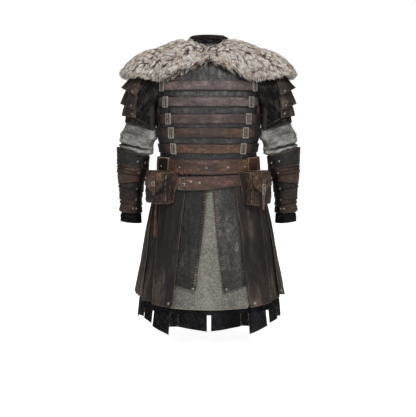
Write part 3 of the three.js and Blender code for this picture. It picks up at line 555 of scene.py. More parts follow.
# ---- materials
class Graph:
    """A node tree being wired."""

    def __init__(self, tree: bpy.types.NodeTree) -> None:
        """Starts from an empty tree."""
        tree.nodes.clear()
        self.tree = tree

    def add(self, kind: str, inputs: dict | None = None, **settings: object) -> bpy.types.Node:
        """Adds a node, sets it, and feeds its inputs from numbers or other sockets."""
        node = self.tree.nodes.new(kind)
        for key, value in settings.items():
            setattr(node, key, value)
        for key, value in (inputs or {}).items():
            if isinstance(value, Socket):
                self.tree.links.new(value, node.inputs[key])
            else:
                node.inputs[key].default_value = value
        return node

    def link(self, source: Socket, goal: Socket) -> None:
        """Feeds one socket from another."""
        self.tree.links.new(source, goal)

    def attribute(self, name: str) -> Socket:
        """A number kept on the piece's points."""
        return self.add("ShaderNodeAttribute", attribute_name=name).outputs["Fac"]

    def bump(self, shader: bpy.types.Node, height: Socket, strength: float, far: float) -> None:
        """Fine relief on a shader's surface, far metres deep."""
        found = self.add("ShaderNodeBump", {"Height": height, "Strength": strength, "Distance": far})
        self.link(found.outputs[0], shader.inputs["Normal"])

    def bend(self, vector: Socket, scale: float, far: tuple[float, float, float]) -> Socket:
        """Places pushed about by noise."""
        cloud = self.add(
            "ShaderNodeTexNoise", {"Vector": vector, "Scale": scale, "Detail": 2.0}).outputs["Color"]
        push = self.add("ShaderNodeVectorMath", {0: cloud, 1: far}, operation="MULTIPLY").outputs[0]
        return self.add("ShaderNodeVectorMath", {0: vector, 1: push}, operation="ADD").outputs[0]

    def noise(self, vector: Socket, scale: object, detail: float = 4, rough: float = 0.55) -> Socket:
        """Cloudy noise, 0 to 1."""
        found = self.add(
            "ShaderNodeTexNoise", {"Vector": vector, "Scale": scale, "Detail": detail, "Roughness": rough})
        return found.outputs["Fac"]

    def ramp(self, value: Socket, low: object, high: object, to_low: float = 0, to_high: float = 1) -> Socket:
        """Smooth change of a value between two limits."""
        found = self.add(
            "ShaderNodeMapRange",
            {"Value": value, "From Min": low, "From Max": high, "To Min": to_low, "To Max": to_high},
            interpolation_type="SMOOTHSTEP")
        return found.outputs["Result"]

    def sum(self, kind: str, first: object, second: object) -> Socket:
        """Arithmetic on two values."""
        return self.add("ShaderNodeMath", {0: first, 1: second}, operation=kind).outputs[0]

    def mix(self, factor: object, first: object, second: object, way: str = "MIX") -> Socket:
        """Blends two colours."""
        node = self.add("ShaderNodeMix", {0: factor, 6: first, 7: second}, data_type="RGBA", blend_type=way)
        return node.outputs[2]


def group_tree(name: str, takes: dict, gives: dict) -> tuple[Graph, bpy.types.Node, bpy.types.Node]:
    """A shader node group with named inputs and outputs.

    Args:
        name: The group's name.
        takes: Input names with their socket kinds and rest values.
        gives: Output names with their socket kinds.
    Returns:
        The graph, its input node and its output node.
    """
    tree = bpy.data.node_groups.new(name, "ShaderNodeTree")
    graph = Graph(tree)
    for key, (kind, rest) in takes.items():
        socket = tree.interface.new_socket(name=key, in_out="INPUT", socket_type=kind)
        if rest is not None:
            socket.default_value = rest
    for key, kind in gives.items():
        tree.interface.new_socket(name=key, in_out="OUTPUT", socket_type=kind)
    return graph, graph.add("NodeGroupInput"), graph.add("NodeGroupOutput")


class Effects:
    """The shader node groups that several finishes share, each built once."""

    _built: dict[str, bpy.types.NodeTree] = {}

    @classmethod
    def get(cls, name: str) -> bpy.types.NodeTree:
        """The group of that name."""
        if name not in cls._built:
            cls._built[name] = getattr(cls, "_" + name)()
        return cls._built[name]

    @staticmethod
    def _grain() -> bpy.types.NodeTree:
        """Hide grain: pebbled cells, fine wrinkles and slow patches."""
        graph, take, give = group_tree(
            "hide_grain", {"Vector": ("NodeSocketVector", None), "Cells": ("NodeSocketFloat", 420.0)},
            {"Height": "NodeSocketFloat", "Patches": "NodeSocketFloat", "Streaks": "NodeSocketFloat",
             "Creases": "NodeSocketFloat"})
        vector, cells = take.outputs["Vector"], take.outputs["Cells"]
        bent = graph.bend(vector, 45.0, (0.006, 0.006, 0.006))
        pebble = graph.add(
            "ShaderNodeTexVoronoi", {"Vector": bent, "Scale": cells}, feature="DISTANCE_TO_EDGE")
        wrinkle = graph.add(
            "ShaderNodeTexVoronoi", {"Vector": bent, "Scale": graph.sum("MULTIPLY", cells, 0.17)},
            feature="DISTANCE_TO_EDGE")
        low = graph.ramp(pebble.outputs["Distance"], 0.0, 0.2)
        vein = graph.ramp(wrinkle.outputs["Distance"], 0.0, 0.1)
        height = graph.sum("ADD", graph.sum("MULTIPLY", low, 0.4), graph.sum("MULTIPLY", vein, 0.55))
        height = graph.sum("ADD", height, graph.sum("MULTIPLY", graph.noise(bent, 160.0, 3), 0.6))
        graph.link(height, give.inputs["Height"])
        graph.link(graph.noise(vector, 11.0, 5, 0.6), give.inputs["Patches"])
        graph.link(graph.noise(vector, 46.0, 6, 0.68), give.inputs["Streaks"])
        ridge = graph.sum("ABSOLUTE", graph.sum("SUBTRACT", graph.noise(bent, 58.0, 3, 0.5), 0.5), 0.0)
        graph.link(graph.ramp(ridge, 0.0, 0.085), give.inputs["Creases"])
        return graph.tree

    @staticmethod
    def _edge_wear() -> bpy.types.NodeTree:
        """Mask along the cut edges, broken by noise: rubbed edges on most finishes, a painted shadow along
        the pouch flap's rim.
        """
        graph, take, give = group_tree(
            "edge_wear", {"Vector": ("NodeSocketVector", None), "Rim": ("NodeSocketFloat", 0.01),
                          "Width": ("NodeSocketFloat", 0.003)}, {"Mask": "NodeSocketFloat"})
        rough = graph.noise(take.outputs["Vector"], 130.0, 4, 0.65)
        reach = graph.sum("MULTIPLY", take.outputs["Width"], graph.ramp(rough, 0.3, 0.72, 0.35, 1.7))
        graph.link(graph.ramp(graph.sum("DIVIDE", take.outputs["Rim"], reach), 1.0, 0.35),
                   give.inputs["Mask"])
        return graph.tree

    @staticmethod
    def _weave() -> bpy.types.NodeTree:
        """Plain weave from a map in metres."""
        graph, take, give = group_tree(
            "plain_weave", {"Vector": ("NodeSocketVector", None), "Threads": ("NodeSocketFloat", 700.0)},
            {"Height": "NodeSocketFloat", "Gaps": "NodeSocketFloat"})
        vector = take.outputs["Vector"]
        bent = graph.bend(vector, 120.0, (0.0011, 0.0011, 0.0))
        parts = graph.add("ShaderNodeSeparateXYZ", {0: bent})
        turns = [graph.sum(
            "MULTIPLY", graph.sum("MULTIPLY", parts.outputs[k], take.outputs["Threads"]), math.pi)
                 for k in (0, 1)]
        waves = [graph.sum("SINE", turn, 0.0) for turn in turns]
        over = graph.sum("MULTIPLY", waves[0], waves[1])
        height = graph.sum("ABSOLUTE", over, 0.0)
        graph.link(graph.sum("ADD", height, graph.sum("MULTIPLY", over, 0.35)), give.inputs["Height"])
        graph.link(graph.ramp(height, 0.22, 0.02), give.inputs["Gaps"])
        return graph.tree


@dataclass(frozen=True)
class Finish:
    """What a piece is made of."""

    name: str
    base: Colour
    dark: Colour
    worn: Colour
    edge: Colour
    roughness: float = 0.55

    def material(self) -> bpy.types.Material:
        """The material, built at its first use."""
        found = bpy.data.materials.get(self.name)
        return found if found else self.build()

    def build(self) -> bpy.types.Material:
        """Each kind of finish wires its own nodes."""
        raise NotImplementedError

    def start(self) -> tuple[bpy.types.Material, Graph, bpy.types.Node]:
        """An empty material with its output and main shader."""
        material = bpy.data.materials.new(self.name)
        material.use_nodes = True
        graph = Graph(material.node_tree)
        shader = graph.add("ShaderNodeBsdfPrincipled", {"Roughness": self.roughness})
        graph.add("ShaderNodeOutputMaterial", {"Surface": shader.outputs[0]})
        return material, graph, shader

    def rub_edges(self, graph: Graph, place: Socket, colour: Socket, width: float) -> Socket:
        """The colour blended to the edge colour along its cut edges: rubbed edges on most finishes, a painted
        shadow along the pouch flap's rim.
        """
        wear = graph.add("ShaderNodeGroup", {"Width": width}, node_tree=Effects.get("edge_wear"))
        graph.link(place, wear.inputs["Vector"])
        graph.link(graph.attribute("rim"), wear.inputs["Rim"])
        return graph.mix(wear.outputs["Mask"], colour, self.edge)


@dataclass(frozen=True)
class Leather(Finish):
    """Worn hide with grain, rubbed patches and pale cut edges, with painted shade in its folds and painted
    near-black shadow where the fold attribute is lowest.
    """

    wear: float = 0.5
    cells: float = 420.0
    rim: float = 0.003
    bump: float = 0.5
    long_grain: float = 1.0
    shine: float = 0.35
    crumple: float = 0.0
    warm: Colour | None = None

    def build(self) -> bpy.types.Material:
        """Wires the leather."""
        material, graph, shader = self.start()
        place = graph.add("ShaderNodeTexCoord").outputs["Object"]
        vector = graph.add(
            "ShaderNodeMapping", {"Vector": place, "Scale": (1, 1, self.long_grain)}).outputs[0]
        grain = graph.add("ShaderNodeGroup", {}, node_tree=Effects.get("grain"))
        graph.link(vector, grain.inputs["Vector"])
        grain.inputs["Cells"].default_value = self.cells
        patches, streaks = grain.outputs["Patches"], grain.outputs["Streaks"]
        fold = graph.attribute("fold")
        colour = graph.mix(graph.ramp(patches, 0.34, 0.64), self.dark, self.base)
        if self.warm:
            colour = graph.mix(graph.attribute("warm"), colour, self.warm)
        # Painted shade: darker where the relief sinks into a fold.
        deep = graph.ramp(fold, -0.05, -0.9, 0.0, 0.75)
        rubbed = graph.sum("MULTIPLY", graph.ramp(streaks, 0.48, 0.64), graph.ramp(patches, 0.42, 0.6))
        high = graph.sum(
            "ADD", graph.sum("MULTIPLY", rubbed, self.wear), graph.ramp(fold, 0.3, 1.0, 0.0, self.wear * 0.6))
        colour = graph.mix(high, colour, self.worn)
        # Painted shade in the fine creases of crumpled leather.
        if self.crumple > 0:
            colour = graph.mix(
                graph.ramp(grain.outputs["Creases"], 0.62, 0.1, 0.0, 0.85 * self.crumple), colour, self.dark)
        colour = graph.mix(deep, colour, self.dark)
        # Painted shadow: near-black where the fold attribute sinks below -1.
        colour = graph.mix(graph.ramp(fold, -0.95, -1.9, 0.0, 0.85), colour, SHADOW_BLACK)
        speck = graph.sum(
            "MULTIPLY", graph.ramp(grain.outputs["Height"], 0.35, 1.0, 0.68, 1.14),
            graph.ramp(streaks, 0.36, 0.64, 0.72, 1.26))
        colour = graph.mix(
            1.0, colour, graph.add("ShaderNodeCombineColor", {0: speck, 1: speck, 2: speck}).outputs[0],
            "MULTIPLY")
        colour = self.rub_edges(graph, place, colour, self.rim)
        graph.link(colour, shader.inputs["Base Color"])
        graph.link(graph.ramp(streaks, 0.3, 0.75, self.roughness + 0.14, self.roughness - 0.12),
                   shader.inputs["Roughness"])
        shader.inputs["Specular IOR Level"].default_value = self.shine
        height = graph.sum("ADD", grain.outputs["Height"], graph.sum("MULTIPLY", streaks, 2.2))
        if self.crumple > 0:
            height = graph.sum(
                "ADD", height, graph.sum("MULTIPLY", grain.outputs["Creases"], 2.6 * self.crumple))
        graph.bump(shader, height, self.bump, 0.0007)
        return material


@dataclass(frozen=True)
class Cloth(Finish):
    """Woven cloth with threads, slubs and mottling, with a painted highlight on raised folds and painted
    shade in their hollows.
    """

    threads: float = 700.0
    mottle: float = 0.6
    bump: float = 0.5
    rim: float = 0.0
    sheen: float = 0.0
    blot: float = 62.0

    def build(self) -> bpy.types.Material:
        """Wires the cloth."""
        material, graph, shader = self.start()
        place = graph.add("ShaderNodeTexCoord").outputs["Object"]
        laid = graph.add("ShaderNodeUVMap", uv_map="cloth").outputs[0]
        weave = graph.add("ShaderNodeGroup", {}, node_tree=Effects.get("weave"))
        graph.link(laid, weave.inputs["Vector"])
        weave.inputs["Threads"].default_value = self.threads
        clouds = graph.noise(place, 16.0, 6, 0.62)
        blots = graph.noise(place, self.blot, 6, 0.72)
        slubs = graph.add("ShaderNodeMapping", {"Vector": laid, "Scale": (1, 0.3, 1)}).outputs[0]
        flecks = graph.noise(slubs, 240.0, 5, 0.75)
        fold = graph.attribute("fold")
        colour = graph.mix(graph.ramp(clouds, 0.36, 0.66, 1 - self.mottle, 1.0), self.dark, self.base)
        colour = graph.mix(graph.ramp(blots, 0.5, 0.6, 0.0, self.mottle), colour, self.worn)
        colour = graph.mix(graph.ramp(blots, 0.49, 0.4, 0.0, self.mottle), colour, self.dark)
        colour = graph.mix(graph.ramp(flecks, 0.52, 0.74, 0.0, self.mottle), colour, self.worn)
        colour = graph.mix(graph.ramp(flecks, 0.46, 0.3, 0.0, self.mottle), colour, self.dark)
        # Painted highlight on raised folds and painted shade in their hollows.
        colour = graph.mix(graph.ramp(fold, 0.1, 0.9, 0.0, 0.55), colour, self.worn)
        colour = graph.mix(graph.ramp(fold, 0.0, -1.0, 0.0, 0.8), colour, self.dark)
        colour = graph.mix(graph.sum("MULTIPLY", weave.outputs["Gaps"], 0.5), colour, self.dark)
        # Painted shadow: near-black where the fold attribute sinks below -1.
        colour = graph.mix(graph.ramp(fold, -1.0, -2.0, 0.0, 0.85), colour, SHADOW_BLACK)
        if self.rim > 0:
            colour = self.rub_edges(graph, place, colour, self.rim)
        graph.link(colour, shader.inputs["Base Color"])
        graph.link(graph.ramp(flecks, 0.3, 0.7, self.roughness - 0.06, self.roughness + 0.06),
                   shader.inputs["Roughness"])
        shader.inputs["Specular IOR Level"].default_value = 0.1
        shader.inputs["Sheen Weight"].default_value = self.sheen
        height = graph.sum("ADD", weave.outputs["Height"], graph.sum("MULTIPLY", flecks, 1.4))
        graph.bump(shader, height, self.bump, 0.0006)
        return material


@dataclass(frozen=True)
class Fleece(Finish):
    """Fur: brown at the root, pale at the tip, each lock its own tone; the dark roots are partly painted
    shade deep between the locks.
    """

    def build(self) -> bpy.types.Material:
        """Wires the fur."""
        material, graph, shader = self.start()
        place = graph.add("ShaderNodeTexCoord").outputs["Object"]
        tip = graph.attribute("tip")
        tone = graph.attribute("tone")
        hairs = graph.noise(place, 620.0, 4, 0.7)
        clouds = graph.noise(place, 19.0, 4, 0.6)
        light = graph.mix(
            graph.ramp(graph.sum("ADD", tone, graph.sum("MULTIPLY", clouds, 0.9)), 0.45, 1.15), self.base,
            self.worn)
        # Dark roots: partly the fur's own colour, partly painted shade deep between the locks.
        colour = graph.mix(graph.ramp(tip, 0.28, 0.86), self.dark, light)
        colour = graph.mix(graph.ramp(hairs, 0.54, 0.34, 0.0, 0.4), colour, self.edge)
        graph.link(colour, shader.inputs["Base Color"])
        graph.link(graph.ramp(hairs, 0.3, 0.7, self.roughness - 0.1, self.roughness + 0.08),
                   shader.inputs["Roughness"])
        shader.inputs["Specular IOR Level"].default_value = 0.2
        shader.inputs["Sheen Weight"].default_value = 0.2
        graph.bump(shader, hairs, 0.5, 0.0008)
        return material


@dataclass(frozen=True)
class Metal(Finish):
    """Dull aged fittings with tarnish and fine scratches."""

    def build(self) -> bpy.types.Material:
        """Wires the metal."""
        material, graph, shader = self.start()
        place = graph.add("ShaderNodeTexCoord").outputs["Object"]
        tarnish = graph.noise(place, 170.0, 5, 0.65)
        drawn = graph.add("ShaderNodeMapping", {"Vector": place, "Scale": (1, 1, 9)}).outputs[0]
        scratch = graph.noise(drawn, 420.0, 3)
        colour = graph.mix(graph.ramp(tarnish, 0.42, 0.62), self.base, self.worn)
        colour = graph.mix(graph.ramp(tarnish, 0.44, 0.3, 0.0, 0.8), colour, self.dark)
        graph.link(colour, shader.inputs["Base Color"])
        graph.link(graph.ramp(scratch, 0.3, 0.7, self.roughness - 0.1, self.roughness + 0.12),
                   shader.inputs["Roughness"])
        shader.inputs["Metallic"].default_value = 0.85
        height = graph.sum("ADD", tarnish, graph.sum("MULTIPLY", scratch, 0.3))
        graph.bump(shader, height, 0.3, 0.0004)
        return material


# Near-black colour of the painted shadow where the fold attribute sinks below -1: overlaps, under straps and
# wraps, laced openings.
SHADOW_BLACK = tint(9, 8, 8)
JERKIN_LEATHER = Leather(
    "jerkin_hide", tint(68, 62, 60), tint(33, 30, 29), tint(112, 107, 105), tint(34, 29, 27), 0.35, wear=0.24,
    long_grain=0.8, bump=0.8, shine=0.8)
PANEL_LEATHER = Leather(
    "panel_hide", tint(61, 51, 44), tint(30, 25, 23), tint(100, 88, 79), tint(102, 86, 74), 0.52, wear=0.5,
    long_grain=0.16, rim=0.0026)
PANEL_DARK = Leather(
    "panel_black_hide", tint(80, 75, 73), tint(38, 35, 34), tint(132, 127, 124), tint(70, 58, 50), 0.36,
    wear=0.28, long_grain=1.0, rim=0.003, bump=1.0, crumple=1.0, shine=0.7)
STRAP_LEATHER = Leather(
    "strap_hide", tint(97, 78, 72), tint(60, 45, 41), tint(144, 124, 116), tint(70, 48, 40), 0.4, wear=0.3,
    long_grain=2.0, bump=0.7, shine=0.65)
STRAP_GREY = Leather(
    "strap_hide_grey", tint(104, 88, 84), tint(64, 54, 51), tint(138, 125, 121), tint(60, 46, 40), 0.38,
    wear=0.4, long_grain=2.0, bump=0.8, shine=0.7)
STRAP_WARM = Leather(
    "strap_hide_warm", tint(98, 71, 56), tint(60, 44, 36), tint(136, 106, 87), tint(64, 46, 38), 0.42,
    wear=0.32, long_grain=2.0, bump=0.7, shine=0.55)
STRAP_BROWN = Leather(
    "strap_hide_brown", tint(98, 69, 52), tint(58, 42, 34), tint(138, 106, 84), tint(64, 46, 38), 0.42,
    wear=0.32, long_grain=2.0, bump=0.7, shine=0.55)
BELT_LEATHER = Leather(
    "belt_hide", tint(92, 62, 46), tint(58, 39, 31), tint(140, 106, 84), tint(52, 36, 28), 0.4, wear=0.36,
    long_grain=2.0, bump=0.8, shine=0.6)
# The bag's leather is a darker tone of the flap's: partly its own colour, partly painted shade that sets the
# bag back under the flap.
POUCH_LEATHER = Leather(
    "pouch_hide", tint(56, 41, 31), tint(28, 21, 17), tint(104, 80, 62), tint(140, 110, 88), 0.42, wear=0.42,
    bump=0.7, rim=0.003, crumple=0.4, shine=0.5)
# The flap's dark edge colour is a painted shadow along its rim.
FLAP_LEATHER = Leather(
    "pouch_flap_hide", tint(70, 52, 40), tint(34, 26, 20), tint(124, 98, 78), tint(24, 18, 14), 0.4,
    wear=0.45, bump=0.7, rim=0.0034, shine=0.5)
LAME_LEATHER = Leather(
    "lame_hide", tint(62, 50, 43), tint(28, 23, 20), tint(120, 102, 90), tint(92, 73, 60), 0.4, wear=0.5,
    rim=0.0022, bump=0.7, shine=0.5)
BRACER_LEATHER = Leather(
    "bracer_hide", tint(40, 35, 29), tint(18, 15, 13), tint(88, 70, 56), tint(88, 66, 52), 0.42, wear=0.5,
    bump=0.9, shine=0.5, crumple=0.35, warm=tint(76, 49, 33))
WARM_LOOP = Leather(
    "belt_loop_warm_hide", tint(76, 49, 35), tint(46, 30, 24), tint(120, 88, 68), tint(150, 126, 106), 0.45,
    wear=0.4, rim=0.0026)
LOOP_LEATHER = Leather(
    "belt_loop_hide", tint(50, 31, 23), tint(24, 16, 13), tint(96, 70, 54), tint(176, 156, 138), 0.45,
    wear=0.4, rim=0.0026)
THONG_LEATHER = Leather(
    "thong_hide", tint(106, 80, 60), tint(74, 55, 42), tint(132, 104, 82), tint(80, 56, 40), 0.6, wear=0.4)
LACE_LEATHER = Leather(
    "lace_hide", tint(64, 50, 42), tint(36, 28, 25), tint(120, 102, 90), tint(64, 50, 42), 0.45, wear=0.5,
    cells=900.0)
# Painted highlight: the whip laces' pale colour stands in for the shine on their dark leather.
WHIP_LEATHER = Leather(
    "whip_lace_hide", tint(138, 120, 106), tint(92, 76, 66), tint(184, 170, 156), tint(138, 120, 106), 0.45,
    wear=0.6, cells=900.0)
DARK_CLOTH = Cloth(
    "black_brown_cloth", tint(42, 39, 38), tint(12, 11, 11), tint(96, 88, 82), tint(66, 52, 44), 0.8,
    threads=900.0, mottle=0.35, bump=0.7, blot=30.0)
PANEL_BLACK = Leather(
    "panel_brown_black_hide", tint(45, 41, 38), tint(24, 21, 20), tint(94, 88, 84), tint(76, 62, 52), 0.4,
    wear=0.3, rim=0.003, bump=0.9, crumple=0.7, shine=0.5)
UNDER_CLOTH = Cloth(
    "underskirt_cloth", tint(28, 28, 30), tint(12, 12, 13), tint(56, 56, 60), tint(84, 76, 70), 0.86,
    threads=900.0, mottle=0.6, rim=0.0022)
LINEN_CLOTH = Cloth(
    "linen_cloth", tint(175, 174, 169), tint(90, 89, 86), tint(208, 207, 201), tint(110, 108, 104), 0.9,
    threads=760.0, mottle=0.42, bump=0.9, sheen=0.05)
GREY_CLOTH = Cloth(
    "grey_wool", tint(154, 150, 143), tint(92, 89, 84), tint(196, 191, 181), tint(160, 150, 126), 0.92,
    threads=520.0, mottle=0.5, rim=0.0045, bump=0.9, sheen=0.04, blot=170.0)
FUR = Fleece("shaggy_fur", tint(226, 208, 189), tint(116, 94, 79), tint(254, 250, 243), tint(166, 146, 128),
             0.8)
BRASS = Metal("aged_brass", tint(196, 190, 177), tint(92, 85, 74), tint(226, 222, 212), tint(120, 110, 90),
              0.42)
DARK_STEEL = Metal(
    "blackened_steel", tint(104, 99, 94), tint(36, 33, 31), tint(200, 197, 192), tint(80, 78, 76), 0.36)
STEEL = Metal("aged_steel", tint(150, 146, 141), tint(58, 54, 52), tint(206, 203, 198), tint(100, 98, 96),
              0.38)


# ---- cloth cuts
@dataclass(frozen=True)
class Cut:
    """The flat piece that a maker cuts: widest width, length and area, in metres."""

    wide: float
    long: float
    area: float

    def declare(self, piece: Piece, held: str, rests_on: Sequence[str],
                with_pieces: Sequence[Piece] = ()) -> None:
        """Args:
            piece: The cloth or hide; not used.
            rests_on: Pieces that bear it; not used.
            with_pieces: Trimmings that hang with it; not used.
        """


# Widest width, length and area of what is cut for each kind of piece.
CUTS = {
    "jerkin_back": Cut(0.275, 0.487, 0.1087),
    "jerkin_front": Cut(0.273, 0.487, 0.1076),
    "collar": Cut(0.440, 0.070, 0.0262),
    "upper_sleeve": Cut(0.366, 0.303, 0.0731),
    "linen_sleeve": Cut(0.379, 0.225, 0.0564),
    "wrist_cuff": Cut(0.216, 0.060, 0.0111),
    "fur_mantle": Cut(0.463, 0.249, 0.0764),
    "grey_skirt": Cut(1.487, 0.508, 0.5810),
    "underskirt_back": Cut(0.800, 0.599, 0.3530),
    "underskirt_front": Cut(0.800, 0.593, 0.3540),
}


# ---- jerkin and collar
@dataclass
class Jerkin:
    """The leather body: two backs, two fronts and the crumpled collar."""

    strap_middles: tuple[float, ...] = (-151.5, -208, -267, -316, -372)
    strap_half: float = 17
    strap_reach: float = 84

    def relief(self, places: Array) -> Array:
        """How far the leather stands out.

        Args:
            places: Rows of coordinates, in millimetres.
        Returns:
            Millimetres for each place, below 0 in a valley.
        """
        angle, height = BODY.read(places)
        arc = np.radians(angle) * 165
        under = np.zeros(len(places))
        for middle in self.strap_middles:
            under = np.maximum(
                under, 1 - ease(np.abs(height - middle), self.strap_half - 3, self.strap_half + 6))
        on_back = 1 - ease(np.abs(angle), self.strap_reach - 8, self.strap_reach + 4)
        under = under * on_back
        free = 1 - under
        flat = np.stack([arc, height], -1)
        soft = swell(places, (70, 70, 60), 11) * 0.9
        pleats = crease(flat, (64, 260), 17, 0.2) * 1.6
        cross = crease(flat, (110, 36), 23, 0.2) * 1.5
        bow = 1.5 * on_back * ease(height, -395, -380) * ease(-height, 168, 180)
        out = soft * 0.5 - 0.4 + (bow - pleats - cross) * free
        seam = np.exp(-(np.abs(arc) / 4.0) ** 2) * 0.8
        waist = ease(-height, 395, 412)
        return (np.minimum(out, 1.2) - seam) * (1 - 0.9 * waist)

    def shade(self, height: Array) -> Array:
        """Painted shadow just below each strap, and painted shade that deepens down the small of the back."""
        dark = 0.75 * ease(-height, 262, 330)
        for middle in self.strap_middles:
            dark = np.maximum(dark, 1.5 * np.exp(-((height - middle + self.strap_half + 1.5) / 3.6) ** 2))
        return dark

    def build(self) -> None:
        """Makes the four body pieces."""
        for part in ("back", "front"):
            for side in ("left", "right"):
                node = f"jerkin_{part}_{side}"
                piece = pattern_copy(node, f"{node}_hide", 36)
                refine(piece, 3 if part == "back" else 2)
                places = points_of(piece)
                angle, height = BODY.read(places)
                shift(piece, BODY.normal(angle, height), self.relief(places), 1.6)
                if part == "back":
                    # Painted shade: darker toward the back's sides below the shoulders, plus the painted
                    # strap shadows of shade().
                    darken(piece,
                           1.5 * ease(np.abs(angle), 49, 66) * ease(-height, 120, 190) + self.shade(height))
                dress(piece, JERKIN_LEATHER, [node])
                CUTS[f"jerkin_{part}"].declare(piece, "draped", ["main_belt_hide"])
        self.collar()
        self.seams()
        self.bindings()

    def collar(self) -> None:
        """The soft collar with crushed level folds."""
        piece = pattern_copy("collar", "collar_cloth", 10)
        refine(piece, 3, 0.8)
        places = points_of(piece)
        away = places * (1, 1, 0)
        away /= np.linalg.norm(away, axis=1, keepdims=True)
        turn = np.degrees(np.arctan2(places[:, 0], -places[:, 1]))
        folds = swell(places, (90, 90, 13), 5) * 1.2
        deep = crease(places, (110, 110, 16), 9, 0.3) * 2.0
        shift(piece, away, np.minimum(folds - deep, 1.6), 2)
        cowl = ease(-places[:, 2], -12, 8) * ease(-places[:, 1], 0, 34)
        set_points(piece, points_of(piece) + away * 9 * cowl[:, None] + np.array([0, 0, -15]) * cowl[:, None])
        lay_map(piece, turn / 360 * 440, places[:, 2], 440)
        dress(piece, DARK_CLOTH, ["collar"])
        CUTS["collar"].declare(piece, "gathered", ["jerkin_back_left_hide"])

    def seams(self) -> None:
        """Stitch rows beside the centre back seam and the two side-back seams."""
        rows = [(x, -72, -404) for x in (-4.6, 4.6)] + [(x, -170, -400) for x in (-137, 136)]
        spots = []
        for across, top, foot in rows:
            for height in np.arange(top, foot, -6.2):
                angle = math.degrees(math.asin(across / BODY.width(height)))
                place = BODY.drape(angle, height, 0.0)
                out = BODY.normal(angle, height)
                rise = float(self.relief(place[None])[0])
                spots.append(stand_on(place + out * (rise + 0.2), out))
        piece = join_copies("jerkin_stitches", stitch_model(3.9, 0.75), spots)
        dress(piece, LACE_LEATHER)

    def bindings(self) -> None:
        """The tape behind the centre back seam and the narrow bindings of the side-back seams."""
        heights = np.linspace(-66, -398, 72)
        layers = []
        for off in (-1.6, -3.0):
            layers.append(np.array([self.tape(angle, heights, off) for angle in (-1.5, -0.5, 0.5, 1.5)]))
        dress(wall_piece("jerkin_seam_tape", layers[0], layers[1]), JERKIN_LEATHER)
        heights = np.linspace(-214, -306, 28)
        for side in Side:
            layers = [np.array([
                self.tape(side.value * angle, heights, off + crown) for angle,
                crown in ((66.0, -0.5), (66.4, 0.2), (67.4, 0.4), (68.4, 0.2), (68.8, -0.5))[::side.value]])
                      for off in (1.5, -0.6)]
            dress(wall_piece(f"side_binding_{side.word}", layers[0], layers[1]), STRAP_LEATHER)

    def tape(self, angle: float, heights: Array, off: float) -> Array:
        """One column of a tape that follows the leather, at an angle and off millimetres out."""
        places = BODY.drape(angle, heights, off)
        return places + BODY.normal(angle, heights) * np.minimum(
            self.relief(BODY.drape(angle, heights, 0.0)), 0.4)[:, None]


def stitch_model(long: float, half: float) -> Piece:
    """One plump stitch lying along y, made once and copied.

    Args:
        long: Length in millimetres.
        half: Half its thickness.
    Returns:
        The stitch, at the origin.
    """
    bpy.ops.object.select_all(action="DESELECT")
    bpy.ops.mesh.primitive_cylinder_add(
        vertices=6, radius=half * MM, depth=long * MM, rotation=(math.pi / 2, 0, 0))
    piece = edit_new("stitch")
    bpy.ops.mesh.select_all(action="SELECT")
    bpy.ops.mesh.bevel(offset=half * 0.6 * MM, segments=1)
    leave_edit()
    settle(piece)
    return piece


# ---- skirts
class Side(Enum):
    """Which side of the wearer."""

    LEFT = -1
    RIGHT = 1

    @property
    def word(self) -> str:
        """The side's name in node names."""
        return self.name.lower()


@dataclass(frozen=True)
class PanelRow:
    """One outer skirt panel's edge angles, hem heights and layer."""

    name: str
    waist_from: float
    waist_to: float
    hem_from: float
    hem_to: float
    foot_from: float
    foot_to: float
    over: bool

    def edge(self, share: float, height: float, side: Side, off: float) -> tuple[float, float]:
        """Where the panel's outer face is.

        Args:
            share: Place across the panel, 0 to 1.
            height: In millimetres.
            side: Of the wearer.
            off: How far out of the panel.
        Returns:
            The angle, and how far out of the body's form.
        """
        foot = self.foot_from + (self.foot_to - self.foot_from) * share
        reach = np.maximum(0.0, (height + 430) / (foot + 430))
        waist = self.waist_from + (self.waist_to - self.waist_from) * share
        hem = self.hem_from + (self.hem_to - self.hem_from) * share
        level = (3.8 + 3.4 * reach if self.over else 0.8 + 0.8 * reach) + 2.2 + off
        return side.value * (waist + (hem - waist) * reach), level

    def cut(self, side: Side) -> Cut:
        """The leather it is cut from: a flared strip from the belt to the hem."""
        rows = []
        for height in (-432.0, (self.foot_from + self.foot_to) / 2):
            line = np.array([
                BODY.drape(*self.edge(share, height, side, 0.0)[:1], height, 4.0)
                for share in np.linspace(0, 1, 9)])
            rows.append((float(np.linalg.norm(np.diff(line, axis=0), axis=1).sum()), line.mean(0)))
        long = float(np.linalg.norm(rows[0][1] - rows[1][1]))
        return Cut(round(max(rows[0][0], rows[1][0]) * MM, 3), round(long * MM, 3),
                   round((rows[0][0] + rows[1][0]) / 2 * long * MM * MM, 4))


PANELS = {Side.LEFT: (
    PanelRow("back_short", -1, 26.5, 9.6, 29.5, -865, -846, False),
    PanelRow("back_wide", 23.4, 59, 26.8, 46, -927, -923, True),
    PanelRow("back_side", 57, 80, 44, 62, -913, -921, False),
    PanelRow("side", 77, 105, 60, 89, -908, -904, True)),
          Side.RIGHT: (PanelRow("back_short", 3, 30, 11.2, 33.5, -870, -843, False),
                       PanelRow("back_wide", 27.6, 61, 31.2, 52, -928, -921, True),
                       PanelRow("back_side", 59, 82, 50, 67.5, -918, -912, False),
                       PanelRow("side", 79, 105, 65.5, 89, -903, -921, True)),}
FRONT_PANELS = (
    PanelRow("front_side", 102, 124, 87, 111, -920, -914, False),
    PanelRow("front_wide", 121, 147, 109, 134, -920, -926, True),
    PanelRow("front_inner", 144, 166, 132, 154, -916, -920, False),
    PanelRow("front_short", 163, 178.8, 152, 174, -905, -912, True),)


